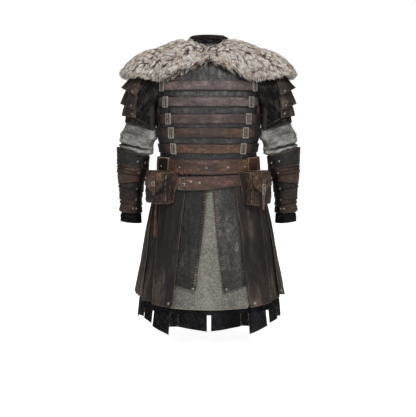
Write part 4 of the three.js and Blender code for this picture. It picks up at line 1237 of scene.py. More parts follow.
@dataclass
class Skirts:
    """Outer leather panels, the grey skirt under them and the dark dagged underskirt."""

    stitch_step: float = 9.0

    def relief(self, places: Array) -> Array:
        """One swell shared by all the layers, so that they never cross."""
        height = places[:, 2]
        ways = np.stack([places[:, 0], places[:, 1], height * 0.25], -1)
        free = ease(-height, 500, 760)
        return swell(ways, (120, 120, 120), 31) * 2.6 * free

    def build(self) -> None:
        """Makes every skirt piece."""
        for side in Side:
            for row in (*PANELS[side], *FRONT_PANELS):
                self.panel(row, side)
            self.whip_stitches(side)
        self.cloth("grey_skirt", GREY_CLOTH, "grey_cloth", 0.8)
        for part in ("back", "front"):
            self.cloth(f"underskirt_{part}", UNDER_CLOTH, "dark_cloth", 1.0)
        self.rivets()

    def panel(self, row: PanelRow, side: Side) -> None:
        """One leather panel, with wrinkles of its own, on one side."""
        node = f"skirt_{row.name}_{side.word}"
        piece = pattern_copy(node, f"{node}_hide", 44)
        refine(piece, 3 if row.name == "back_short" else 2)
        places = points_of(piece)
        angle, height = BODY.read(places)
        free = ease(-height, 480, 600)
        far = self.relief(places)
        own = np.stack([places[:, 0], places[:, 1], height * 0.5], -1)
        seed = sum(map(ord, node))
        far += swell(own, (46, 46, 60), seed) * (0.9 if row.name == "back_short" else 0.5) * free
        if row.name == "back_short":
            far -= crease(own, (34, 34, 44), seed + 3, 0.2) * 1.5 * free
        shift(piece, BODY.normal(angle, height), far, 3.0)
        # Painted shade along the edges of the panels that lie over this one.
        darken(piece, 2.1 * self.grime(row, side, angle, height))
        body_map(piece)
        finish = PANEL_LEATHER
        if row.name in ("back_short", "front_short"):
            finish = PANEL_DARK if side is Side.RIGHT else PANEL_BLACK
        dress(piece, finish, [node])
        row.cut(side).declare(piece, "hung", ["main_belt_hide"])

    def grime(self, row: PanelRow, side: Side, angle: Array, height: Array) -> Array:
        """Painted shade on this panel along the edges of the panels that lie over it.

        Args:
            row: The panel.
            side: Of the wearer.
            angle: Of each place, in degrees.
            height: Of each place, in millimetres.
        Returns:
            Painted shade for each place, 0 to 1.
        """
        dark = np.zeros(len(angle))
        wide = BODY.width(height)
        for other in (*PANELS[side], *FRONT_PANELS):
            if other.over and not row.over:
                for share, outer in ((0.0, -1), (1.0, 1)):
                    gap = np.radians(
                        angle * side.value
                        - other.edge(share, height, side, 0.0)[0] * side.value) * wide * outer
                    dark = np.maximum(dark, (gap > -4) * (1 - ease(gap, 1, 16)))
        return dark

    def cloth(self, node: str, finish: Finish, slot: str, full: float) -> None:
        """A cloth skirt, soft toward its hem.

        Args:
            node: The pattern solid that it stands for.
            finish: What it is made of.
            slot: The record's material slot; not used.
            full: How much of the shared swell it takes.
        """
        piece = pattern_copy(node, f"{node}_cloth", 50)
        refine(piece, 2)
        places = points_of(piece)
        angle, height = BODY.read(places)
        far = self.relief(places) * full
        shift(piece, BODY.normal(angle, height), far, 5.0)
        body_map(piece)
        dress(piece, finish, [node])
        CUTS[node].declare(piece, "hung", ["main_belt_hide"])

    def surface(self, angle: float, height: float, off: float) -> tuple[Array, Array]:
        """A place on the swelling skirt, off millimetres out of the form, and the way out of it."""
        place = BODY.drape(angle, height, off)
        out = BODY.normal(angle, height)
        return place + out * float(self.relief(place[None])[0]), out

    def whip_stitches(self, side: Side) -> None:
        """Slanting laces over the slit edge of the short back panel."""
        row = PANELS[side][0]
        spots = []
        for height in np.arange(-512, -852, -self.stitch_step):
            angle, level = row.edge(0.0, height, side, 1.8)
            arc = side.value * 4.2 / BODY.table[:, 1].mean() * 57.3
            place, out = self.surface(angle + arc, height, level)
            spots.append(stand_on(place, out, (0, 0, 1), side.value * 58))
        piece = join_copies(f"slit_lacing_{side.word}", stitch_model(12.5, 1.9), spots)
        dress(piece, WHIP_LEATHER)

    def rivets(self) -> None:
        """Small domed rivets at the lower corners of the back panels."""
        spots = []
        for angle, height, level in (
                (-11.5, -857, 4.6), (13.6, -860, 4.6), (-30.0, -913, 10.3), (34.6, -914, 10.3),
                (52.5, -900, 4.8), (68.5, -890, 10.2)):
            place, out = self.surface(angle, height, level)
            spots.append(stand_on(place, out))
        dress(join_copies("skirt_rivets", rivet_model(3.8), spots), STEEL)


def rivet_model(radius: float) -> Piece:
    """A domed rivet on a thin washer, its base at z 0.

    Args:
        radius: Of the dome, in millimetres.
    Returns:
        The rivet at the origin.
    """
    bpy.ops.object.select_all(action="DESELECT")
    bpy.ops.mesh.primitive_circle_add(vertices=12, radius=radius * 1.25 * MM, fill_type="NGON")
    piece = edit_new("rivet")
    bpy.ops.mesh.select_all(action="SELECT")
    bpy.ops.mesh.extrude_region_move(TRANSFORM_OT_translate={"value": (0, 0, 0.35 * radius * MM)})
    bpy.ops.mesh.inset(thickness=0.25 * radius * MM)
    for rise, share in ((0.32, 0.88), (0.24, 0.72), (0.14, 0.45)):
        bpy.ops.mesh.extrude_region_move(TRANSFORM_OT_translate={"value": (0, 0, rise * radius * MM)})
        bpy.ops.transform.resize(value=(share, share, 1))
    leave_edit()
    face_out(piece)
    return piece


# ---- sleeves, bracers and lames
UPPER_RINGS = (
    (232, -86, 196.2, -232, 60, -1), (266, -112, 196, -250, 61, -2), (288, -150, 195.4, -270, 61, -4),
    (298, -205, 195.4, -290, 59, -6), (303, -281, 195.6, -312, 57, -8))
LINEN_RINGS = (
    (296, -258, 200, -286, 50, -7), (300.4, -283, 198.2, -313, 54.4, -8), (322, -322, 192.2, -340, 62, -9),
    (324, -350, 200, -372, 62, -10), (325, -372, 219, -396, 52, -8), (327, -400, 225, -424, 47, -7))
BRACER_RINGS = (
    (333, -378, 217, -410, 55, -8), (334, -436, 220, -452, 55, -4), (333, -470, 233, -480, 50, 4),
    (330, -518, 243, -524, 44, 17), (327, -568, 250, -572, 39, 28), (331, -612, 250, -618, 39, 38))
WRIST_RINGS = ((325.2, -600, 254, -606, 35, 35.3), (328.2, -648, 253.4, -656, 35.6, 46))


@dataclass
class Arm:
    """One arm: dark upper sleeve, linen sleeve, laced bracer and cuff, undersleeve cuff and three lames."""

    side: Side

    def build(self) -> None:
        """Makes the arm's pieces."""
        self.sleeves()
        self.bracer()
        self.lames()

    def tube(self, node: str, rings: Sequence[Sequence[float]], name: str,
             levels: int) -> tuple[Piece, Array, Array, Array]:
        """A smooth copy of an arm solid, with its cloth map.

        Args:
            node: The pattern solid.
            rings: The arm's rings where it lies.
            name: The new piece's name.
            levels: How often its faces are divided.
        Returns:
            The piece, its points, their distances down the arm and the ways out.
        """
        piece = pattern_copy(node, name, 30)
        refine(piece, levels, 0.8)
        places = points_of(piece)
        down, away = ArmForm(rings, self.side.value).read(places)
        turn = np.degrees(np.arctan2(-away[:, 1], away[:, 0] * self.side.value))
        lay_map(piece, turn, down, 360)
        return piece, places, down, away

    def sleeves(self) -> None:
        """The dark upper sleeve, the grey linen sleeve and the dark cuff at the wrist."""
        word, sign = self.side.word, self.side.value
        mirror = np.array([sign, 1, 1])
        piece, places, _, away = self.tube(
            f"upper_sleeve_{word}", UPPER_RINGS, f"upper_sleeve_{word}_cloth", 3)
        own = places * mirror
        slant = np.stack(
            [own[:, 0] * 0.5 + own[:, 2] * 0.35, own[:, 1], own[:, 2] * 0.3 - own[:, 0] * 0.5], -1)
        puffs = np.maximum(0, swell(slant, (38, 44, 90), 43)) * 1.6
        folds = crease(slant, (30, 38, 110), 41, 0.3) * 4.6 + puffs - 0.8
        hem = ease(own[:, 2], -246, -240) + 0.75 * (1 - ease(own[:, 2], -252, -246))
        free = ease(np.abs(own[:, 0]), 199, 222)
        close = (1 - ease(np.abs(own[:, 0]), 200, 216)) * ease(-own[:, 2], 216, 240)
        shift(piece, away, -folds * np.clip(hem, 0, 1) * free + close * 4.6 + 0.6, 3.0)
        dress(piece, DARK_CLOTH, [f"upper_sleeve_{word}"])
        CUTS["upper_sleeve"].declare(piece, "draped", [f"jerkin_back_{word}_hide"])
        self.piping()

        piece, places, _, away = self.tube(
            f"linen_sleeve_{word}", LINEN_RINGS, f"linen_sleeve_{word}_cloth", 3)
        own = places * mirror
        slant = np.stack(
            [own[:, 0] * 0.5 - own[:, 2] * 0.95, own[:, 1], own[:, 2] * 0.5 + own[:, 0] * 0.5], -1)
        puff = swell(slant, (46, 60, 120), 51) * 2.6
        folds = crease(slant, (40, 60, 150), 53, 0.26) * 3.6
        wave = own[:, 2] - 0.27 * (own[:, 0] - 260) + swell(own, (70, 60, 70), 57) * 2.4
        deep = sum(np.exp(-((wave - level) / 5.0) ** 2) * much for level,
                   much in ((-346, 3.2), (-370, 8.5), (-390, 3.6)))
        roll = sum(np.exp(-((wave - level) / 7.0) ** 2) * 2.4 for level in (-343, -362, -380))
        inside = ease(-own[:, 2], 286, 312) * (0.25 + 0.75 * ease(own[:, 0], 202, 226))
        below = 1 - ease(-own[:, 2], 392, 404)
        near = 9.5 * (1 - ease(own[:, 0], 200, 218)) * ease(
            -own[:, 2], 276, 290) * (1 - ease(-own[:, 2], 336, 350))
        hang = 13 * (1 - ease(own[:, 0], 214, 272)) * np.exp(-((own[:, 2] + 386) / 11.0) ** 2)
        shift(piece, away,
              (puff * 0.8 - folds - deep + roll) * inside * below - 0.6 * (1 - inside) + near + hang, 4.5)
        # Painted shade: dark lines in the two lowest crease valleys, and a little darker on the hanging fold.
        line = np.exp(-((wave + 371) / 3.2) ** 2) + 0.6 * np.exp(-((wave + 391) / 2.6) ** 2)
        darken(piece, 0.25 * hang / 13 + 1.2 * line * inside * below * ease(own[:, 0], 224, 252))
        dress(piece, LINEN_CLOTH, [f"linen_sleeve_{word}"])
        CUTS["linen_sleeve"].declare(piece, "gathered", [f"upper_sleeve_{word}_cloth"])

        piece, places, down, away = self.tube(
            f"wrist_cuff_{word}", WRIST_RINGS, f"wrist_cuff_{word}_cloth", 3)
        puckers = np.maximum(0, swell(places, (30, 30, 20), 63)) * 0.6
        wrinkle = crease(places, (40, 40, 14), 61, 0.3) * 1.3 + puckers
        shift(piece, away, -wrinkle, 1.6)
        set_points(piece, points_of(piece) + away * 4.0 * ease(down, 15, 22)[:, None])
        dress(piece, UNDER_CLOTH, [f"wrist_cuff_{word}"])
        CUTS["wrist_cuff"].declare(piece, "gathered", [f"bracer_{word}_hide"])

    def piping(self) -> None:
        """Brown bindings: round the upper sleeve's hem and on the band above it."""
        arm = ArmForm(UPPER_RINGS, self.side.value)
        turns = np.arange(0, 360, 6.0)
        for name, share, half, thick in (("hem_binding", 0.985, 3.6, 1.4), ("sleeve_band", 0.875, 2.2, 0.8)):
            across = np.array([-1, -0.5, 0.5, 1]) * half / 230
            outer = np.stack([
                arm.ring(share + across, turn, np.array([0.5, 1, 1, 0.5]) * thick) for turn in turns])
            inner = np.stack([arm.ring(share + across, turn, -0.8) for turn in turns])
            piece = wall_piece(f"{name}_{self.side.word}", outer, inner, True)
            refine(piece, 1, 0.4)
            set_attribute(piece, "rim", np.full(len(piece.data.vertices), 0.01))
            dress(piece, BRACER_LEATHER)

    def bracer(self) -> None:
        """The wrapped leather bracer, its flared cuff, rivets and the laced opening."""
        word, sign = self.side.word, self.side.value
        arm = ArmForm(BRACER_RINGS, sign)
        edges = ((0.16, 0.06, 40), (0.315, -0.085, 60), (0.385, -0.04, 20), (0.52, 0.045, 120),
                 (0.635, -0.045, 30), (0.76, 0.03, 80), (0.865, -0.03, 10))
        steps = {round(e[0] + d, 4) for e in edges for d in (-0.012, -0.004, 0, 0.005, 0.011, 0.02)}
        rows = np.array(sorted({round(r, 4) for r in np.linspace(0, 1, 64)} | steps))
        ends = np.minimum(rows, 1 - rows)
        turns = np.arange(0, 360, 5.0)
        knots = np.array([0.0] + [e[0] for e in edges] + [1.0])
        amount = np.array([0.0] + [e[1] for e in edges] + [0.0])
        phase = np.array([0.0] + [e[2] for e in edges] + [0.0])
        rise = np.zeros(len(rows))
        for at, (start, _, _) in enumerate(edges):
            end = edges[at + 1][0] if at + 1 < len(edges) else 1.0
            inside = (rows >= start) & (rows < end)
            rise += inside * np.where(
                rows > start + 0.004, 0.8 + 3.8 * np.clip((rows - start) / (end - start), 0, 1), 0)

        def grid(extra: float, lift: bool) -> Array:
            """Points, one column a turn, extra out of the rings; lift adds the wraps."""
            columns = []
            for turn in turns:
                slant = np.interp(
                    rows, knots, amount) * np.sin(np.radians(turn + np.interp(rows, knots, phase)))
                share = np.clip(rows + slant * np.minimum(1, ends * 12), 0, 1)
                base = arm.ring(share, turn, extra)
                if lift:
                    own = base * np.array([sign, 1, 1])
                    bumps = swell(own, (34, 34, 12), 71) * 0.7 - crease(own, (60, 60, 9), 73, 0.25) * 1.5
                    wraps = rise * np.minimum(1, (1 - rows) * 30)
                    base = arm.ring(share, turn, extra + wraps + bumps * np.minimum(1, ends * 20))
                columns.append(base)
            return np.stack(columns)

        piece = wall_piece(f"bracer_{word}_hide", grid(0.0, True), grid(-2.6, False), True)
        lip = np.isin(np.round(rows, 4), [round(e[0] - 0.004, 4) for e in edges])
        # Painted shadow: rows just below each wrap's lower edge.
        under = np.isin(np.round(rows, 4), [round(e[0] + d, 4) for e in edges for d in (0, 0.005, 0.011)])
        gap = (turns >= 127) & (turns <= 146)
        brink = (turns == 120) | (turns == 150)
        jump = np.tile(np.where(lip[None] | brink[:, None], 0.0014, 0.012).ravel(), 2)
        wrap = np.searchsorted([e[0] for e in edges], rows, "right")
        rub = np.array([0.1, 0.5, 0.2, 0.55, 0.0, 0.3, 0.15, 0.5])[wrap]
        inner_side = 1.3 * ease(turns, 112, 127) * (1 - ease(turns, 200, 230))
        # Painted shadow under each wrap's edge and in the laced opening; darker toward the inner side;
        # elsewhere each wrap's own worn tone.
        drop = np.where(under[None] | gap[:, None], -1.9, rub[None] - inner_side[:, None])
        set_attribute(piece, "rim", jump)
        set_attribute(piece, "fold", np.tile(drop.ravel(), 2))
        warm = np.array([0.1, 0.9, 0.7, 1.0, 0.0, 0.1, 0.6, 0.5])[wrap]
        set_attribute(piece, "warm", np.tile(np.tile(warm, len(turns)), 2))
        dress(piece, BRACER_LEATHER, [f"bracer_{word}"], 60)

        cuff = pattern_copy(f"bracer_cuff_{word}", f"bracer_cuff_{word}_hide", 24)
        refine(cuff, 3, 0.9)
        places = points_of(cuff)
        away = arm.read(places)[1]
        shift(cuff, away,
              np.minimum(swell(places, (60, 60, 26), 77) * 0.9, 1.2)
              - crease(places, (90, 90, 16), 79, 0.2) * 0.9, 2.4)
        dress(cuff, BRACER_LEATHER, [f"bracer_cuff_{word}"])

        spots = []
        for share, turn in (
                (0.085, 111), (0.09, 142), (0.298, 119), (0.6, 122), (0.77, 122), (0.915, 123), (0.915, 105)):
            spots.append(stand_on(*land(
                (piece, cuff), arm.ring(share, turn, 30.0), arm.ring(share, turn, -1.0))))
        dress(join_copies(f"bracer_rivets_{word}", rivet_model(3.1), spots), STEEL)
        self.lacing(arm)

    def lacing(self, arm: ArmForm) -> None:
        """Dark thongs that close the bracer's inner side."""
        spots = []
        for share in np.arange(0.19, 0.97, 0.046):
            for turn, spin in ((130, 62), (143, -62)):
                middle = arm.ring(share, turn, 0.0)
                out = arm.ring(share, turn, 10.0) - middle
                spots.append(stand_on(arm.ring(share, turn, 5.2), out, (0, 0, 1), spin * self.side.value))
        dress(join_copies(f"bracer_lacing_{self.side.word}", stitch_model(15, 1.3), spots), LACE_LEATHER)

    def lames(self) -> None:
        """The three overlapping shoulder lames with a rivet near each rear corner."""
        spots = []
        corners = {"top": (258, -86, -184), "middle": (263, -80, -235), "lower": (259, -74, -264)}
        for word, corner in corners.items():
            node = f"shoulder_lame_{word}_{self.side.word}"
            piece = pattern_copy(node, f"{node}_hide", 30)
            refine(piece, 3, 0.92)
            places = points_of(piece)
            away = ArmForm(UPPER_RINGS, self.side.value).read(places)[1]
            shift(piece, away,
                  swell(places * np.array([self.side.value, 1, 1]), (60, 60, 60), len(word)) * 0.5, 1.5)
            dress(piece, LAME_LEATHER, [node])
            start = Vector((self.side.value * (corner[0] + 13), corner[1] - 60, corner[2] + 15))
            hit = tree_of(piece).ray_cast(start, Vector((0, 1, 0)))
            if hit[0] is not None:
                spots.append(stand_on(np.array(hit[0]), np.array(hit[1] if hit[1].y < 0 else -hit[1])))
        dress(join_copies(f"lame_rivets_{self.side.word}", rivet_model(2.6), spots), STEEL)


# ---- straps, belts and buckles
def band_piece(
        name: str, angles: Array, edges: Callable[[float], tuple[float, float]], off: float, thick: float,
        closed: bool, relief: Callable[[Array], Array] | None = None) -> Piece:
    """A flat leather band lying on the body, its long edges a little rounded.

    Args:
        name: The piece's name.
        angles: Its columns, in degrees.
        edges: Gives upper and lower height at an angle.
        off: How far its inner side is out of the body's form.
        thick: Thickness of the leather.
        closed: Whether it goes all round.
        relief: Extra lift for places of its outer side.
    Returns:
        The band.
    """
    shares = np.array([0.0, 0.03, 0.14, 0.38, 0.62, 0.86, 0.97, 1.0])
    crown = np.array([-0.55, 0.0, 0.15, 0.3, 0.3, 0.15, 0.0, -0.55])
    outer, inner = [], []
    for angle in angles:
        top, foot = edges(float(angle))
        heights = top + (foot - top) * shares
        face = BODY.drape(angle, heights, off + thick + crown)
        lift = relief(face) if relief else np.zeros(len(shares))
        out = BODY.normal(angle, heights)
        outer.append(face + out * lift[:, None])
        inner.append(BODY.drape(angle, heights, off) + out * lift[:, None])
    piece = wall_piece(name, np.array(outer), np.array(inner), closed)
    rim = np.tile(np.array([0, 0.001, 0.005, 0.012, 0.012, 0.005, 0.001, 0]), len(angles) * 2)
    set_attribute(piece, "rim", rim)
    return piece


def buckle_model(wide: float, tall: float, bar: float, thick: float, uprights: Sequence[float] = ()) -> Piece:
    """A rectangular buckle frame lying flat, with upright bars inside it.

    Args:
        wide: Outer width in millimetres.
        tall: Outer height.
        bar: Width of its sides.
        thick: Thickness.
        uprights: Sideways places of inner bars.
    Returns:
        The frame at the origin, its back at z 0.
    """
    bpy.ops.object.select_all(action="DESELECT")
    bpy.ops.mesh.primitive_plane_add(size=1)
    piece = edit_new("buckle")
    bpy.ops.transform.resize(value=(wide * MM, tall * MM, 1))
    bpy.ops.mesh.inset(thickness=bar * MM)
    bpy.ops.mesh.delete(type="FACE")
    bpy.ops.mesh.select_all(action="SELECT")
    bpy.ops.mesh.extrude_region_move(TRANSFORM_OT_translate={"value": (0, 0, thick * MM)})
    bpy.ops.mesh.select_all(action="SELECT")
    bpy.ops.mesh.normals_make_consistent(inside=False)
    bpy.ops.mesh.bevel(offset=min(bar, thick) * 0.3 * MM, segments=2)
    leave_edit()
    for across in uprights:
        bpy.ops.mesh.primitive_cube_add(size=1)
        rod = edit_new("upright")
        bpy.ops.transform.resize(value=(bar * 0.62 * MM, (tall - bar) * MM, thick * 0.7 * MM))
        bpy.ops.mesh.bevel(offset=bar * 0.16 * MM, segments=2)
        bpy.ops.transform.translate(value=(across * MM, 0, thick * 0.45 * MM))
        leave_edit()
        settle(rod)
        work = bmesh.new()
        work.from_mesh(piece.data)
        work.from_mesh(rod.data)
        work.to_mesh(piece.data)
        work.free()
        bpy.data.objects.remove(rod)
    return piece


@dataclass(frozen=True)
class StrapRow:
    """One back strap: its height, how far round it reaches and where its buckles sit."""

    height: float
    reach: float
    buckle: float
    finish: Leather


@dataclass
class Straps:
    """The five buckled straps across the back."""

    half: float = 16.0
    rows: tuple[StrapRow, ...] = (
        StrapRow(-151.5, 61, 164, STRAP_GREY), StrapRow(-208, 66, 151, STRAP_GREY),
        StrapRow(-267, 86, 141, STRAP_LEATHER), StrapRow(-316, 86, 131, STRAP_WARM),
        StrapRow(-372, 86, 123, STRAP_BROWN),
    )

    def build(self) -> None:
        """Makes the straps and their buckles."""
        frames = []
        for at, row in enumerate(self.rows, 1):

            def edges(angle: float, row: StrapRow = row, at: int = at) -> tuple[float, float]:
                """Upper and lower edge, a little uneven."""
                drift = 0.5 * math.sin(angle / 17 + at * 2)
                return row.height + self.half + drift, row.height - self.half + drift

            def relief(face: Array, at: int = at) -> Array:
                """Slight dents in the leather."""
                return swell(face, (60, 60, 26), 80 + at) * 0.5 + 0.9

            angles = np.linspace(-row.reach, row.reach, 49)
            piece = band_piece(f"back_strap_{at}_hide", angles, edges, 0.9, 2.8, False, relief)
            angle = np.abs(BODY.read(points_of(piece))[0])
            end = math.degrees(math.asin(row.buckle / BODY.width(row.height)))
            # Painted shade: near-black toward the strap ends past the buckles, and a painted shadow on the
            # strap under each buckle frame.
            under = 1 - ease(np.abs(angle - end), 2.4, 3.8)
            set_attribute(piece, "fold", -1.8 * ease(angle, end + 3, end + 16) - 1.25 * under)
            dress(piece, row.finish, [f"back_strap_{at}"], 50)
            for sign in (-1, 1):
                wide = float(BODY.width(row.height)) + 2
                angle = sign * math.degrees(math.asin(row.buckle / wide))
                out = BODY.normal(angle, row.height)
                frames.append(stand_on(BODY.drape(angle, row.height, 3.9), out))
        piece = join_copies("strap_buckles", buckle_model(24.5, 39, 3.2, 2.4, (-3.2, 5.0)), frames)
        dress(piece, BRASS)


@dataclass
class Belts:
    """The wide main belt, the hip belt hanging under it, their buckles and studs."""

    main_rows: tuple[tuple[float, float, float], ...] = (
        (0, -410, -463), (45, -409, -460), (90, -406, -455), (180, -404, -453))
    hip_rows: tuple[tuple[float, float, float], ...] = (
        (-180, -458, -502), (-90, -461, -508), (-55, -466, -515), (-28, -471, -521), (0, -468, -518),
        (35, -464, -504), (90, -459, -502), (180, -458, -502))

    def main_edges(self, angle: float) -> tuple[float, float]:
        """Edges of the main belt."""
        rows = np.array(self.main_rows)
        return (float(np.interp(abs(angle), rows[:, 0], rows[:, 1])),
                float(np.interp(abs(angle), rows[:, 0], rows[:, 2])))

    def hip_edges(self, angle: float) -> tuple[float, float]:
        """Edges of the hip belt."""
        rows = np.array(self.hip_rows)
        return (float(np.interp(angle, rows[:, 0], rows[:, 1])),
                float(np.interp(angle, rows[:, 0], rows[:, 2])))

    @staticmethod
    def dents(face: Array) -> Array:
        """Slight dents in the belts' leather."""
        return swell(face, (70, 70, 30), 91) * 0.5

    def build(self) -> None:
        """Makes the belts and all that sits on them."""
        around = np.arange(-180, 180, 3.0)
        for word, edges in (("main", self.main_edges), ("second", self.hip_edges)):
            band = band_piece(f"{word}_belt_hide", around, edges, 6.8, 3.0, True, self.dents)
            dress(band, BELT_LEATHER, [f"{word}_belt"], 50)
        hanger = pattern_copy("belt_hanger", "belt_hanger_hide", 18)
        refine(hanger, 2, 0.8)
        dress(hanger, BELT_LEATHER, ["belt_hanger"])
        studs = [(-61.5, -437), (-32.2, -437), (-2.0, -438), (21.5, -437), (43.5, -437), (-9.0, -492),
                 (-18.5, -489)]
        spots = []
        for angle, height in studs:
            spots.append(stand_on(
                BODY.drape(angle, height, 14.3 if angle < -50 else 9.9), BODY.normal(angle, height)))
        dress(join_copies("belt_studs", rivet_model(3.4), spots), STEEL)
        holes = [(7.9, -446), (1.2, -489), (11, -486), (20, -484)]
        spots = [stand_on(BODY.drape(a, h, 9.95), BODY.normal(a, h)) for a, h in holes]
        dress(join_copies("belt_eyelets", self.eyelet(), spots), LACE_LEATHER)
        main = buckle_model(48, 57, 7, 4.2, (0,))
        place = stand_on(BODY.drape(180, -427.5, 10.3), BODY.normal(180, -427.5))
        dress(join_copies("main_belt_buckle", main, [place]), BRASS, ["main_buckle"])
        hip = buckle_model(22, 44, 2.6, 3.0, (0,))
        out = BODY.normal(-28, -497)
        dress(join_copies("hip_belt_buckle", hip, [stand_on(BODY.drape(-28, -497, 10.8), out)]), DARK_STEEL,
              ["second_buckle"])
        for name, angle, height, long, lift in (
                ("main_belt_prong", 180, -427.5, 27, 14.2), ("hip_belt_prong", -28, -497, 17, 13.6)):
            out = BODY.normal(angle, height)
            side = np.cross(out, (0, 0, 1)) * -1
            middle = BODY.drape(angle, height, lift) + side / np.linalg.norm(side) * long * 0.42
            dress(join_copies(name, self.prong(long), [stand_on(middle, out, (0, 0, 1))]), BRASS)

    def prong(self, long: float) -> Piece:
        """A tapered buckle tongue along x."""
        bpy.ops.object.select_all(action="DESELECT")
        bpy.ops.mesh.primitive_cone_add(
            vertices=8, radius1=2.0 * MM, radius2=1.1 * MM, depth=long * MM, rotation=(0, math.pi / 2, 0))
        piece = edit_new("prong")
        bpy.ops.mesh.bevel(offset=0.5 * MM, segments=1)
        leave_edit()
        settle(piece)
        return piece

    def eyelet(self) -> Piece:
        """A dark pressed ring round a belt hole; its filled centre is painted shade for the hole."""
        bpy.ops.object.select_all(action="DESELECT")
        bpy.ops.mesh.primitive_circle_add(vertices=10, radius=2.6 * MM, fill_type="NGON")
        piece = edit_new("eyelet")
        bpy.ops.mesh.extrude_region_move(TRANSFORM_OT_translate={"value": (0, 0, 0.5 * MM)})
        bpy.ops.mesh.inset(thickness=0.8 * MM)
        bpy.ops.mesh.extrude_region_move(TRANSFORM_OT_translate={"value": (0, 0, -0.4 * MM)})
        leave_edit()
        face_out(piece)
        return piece


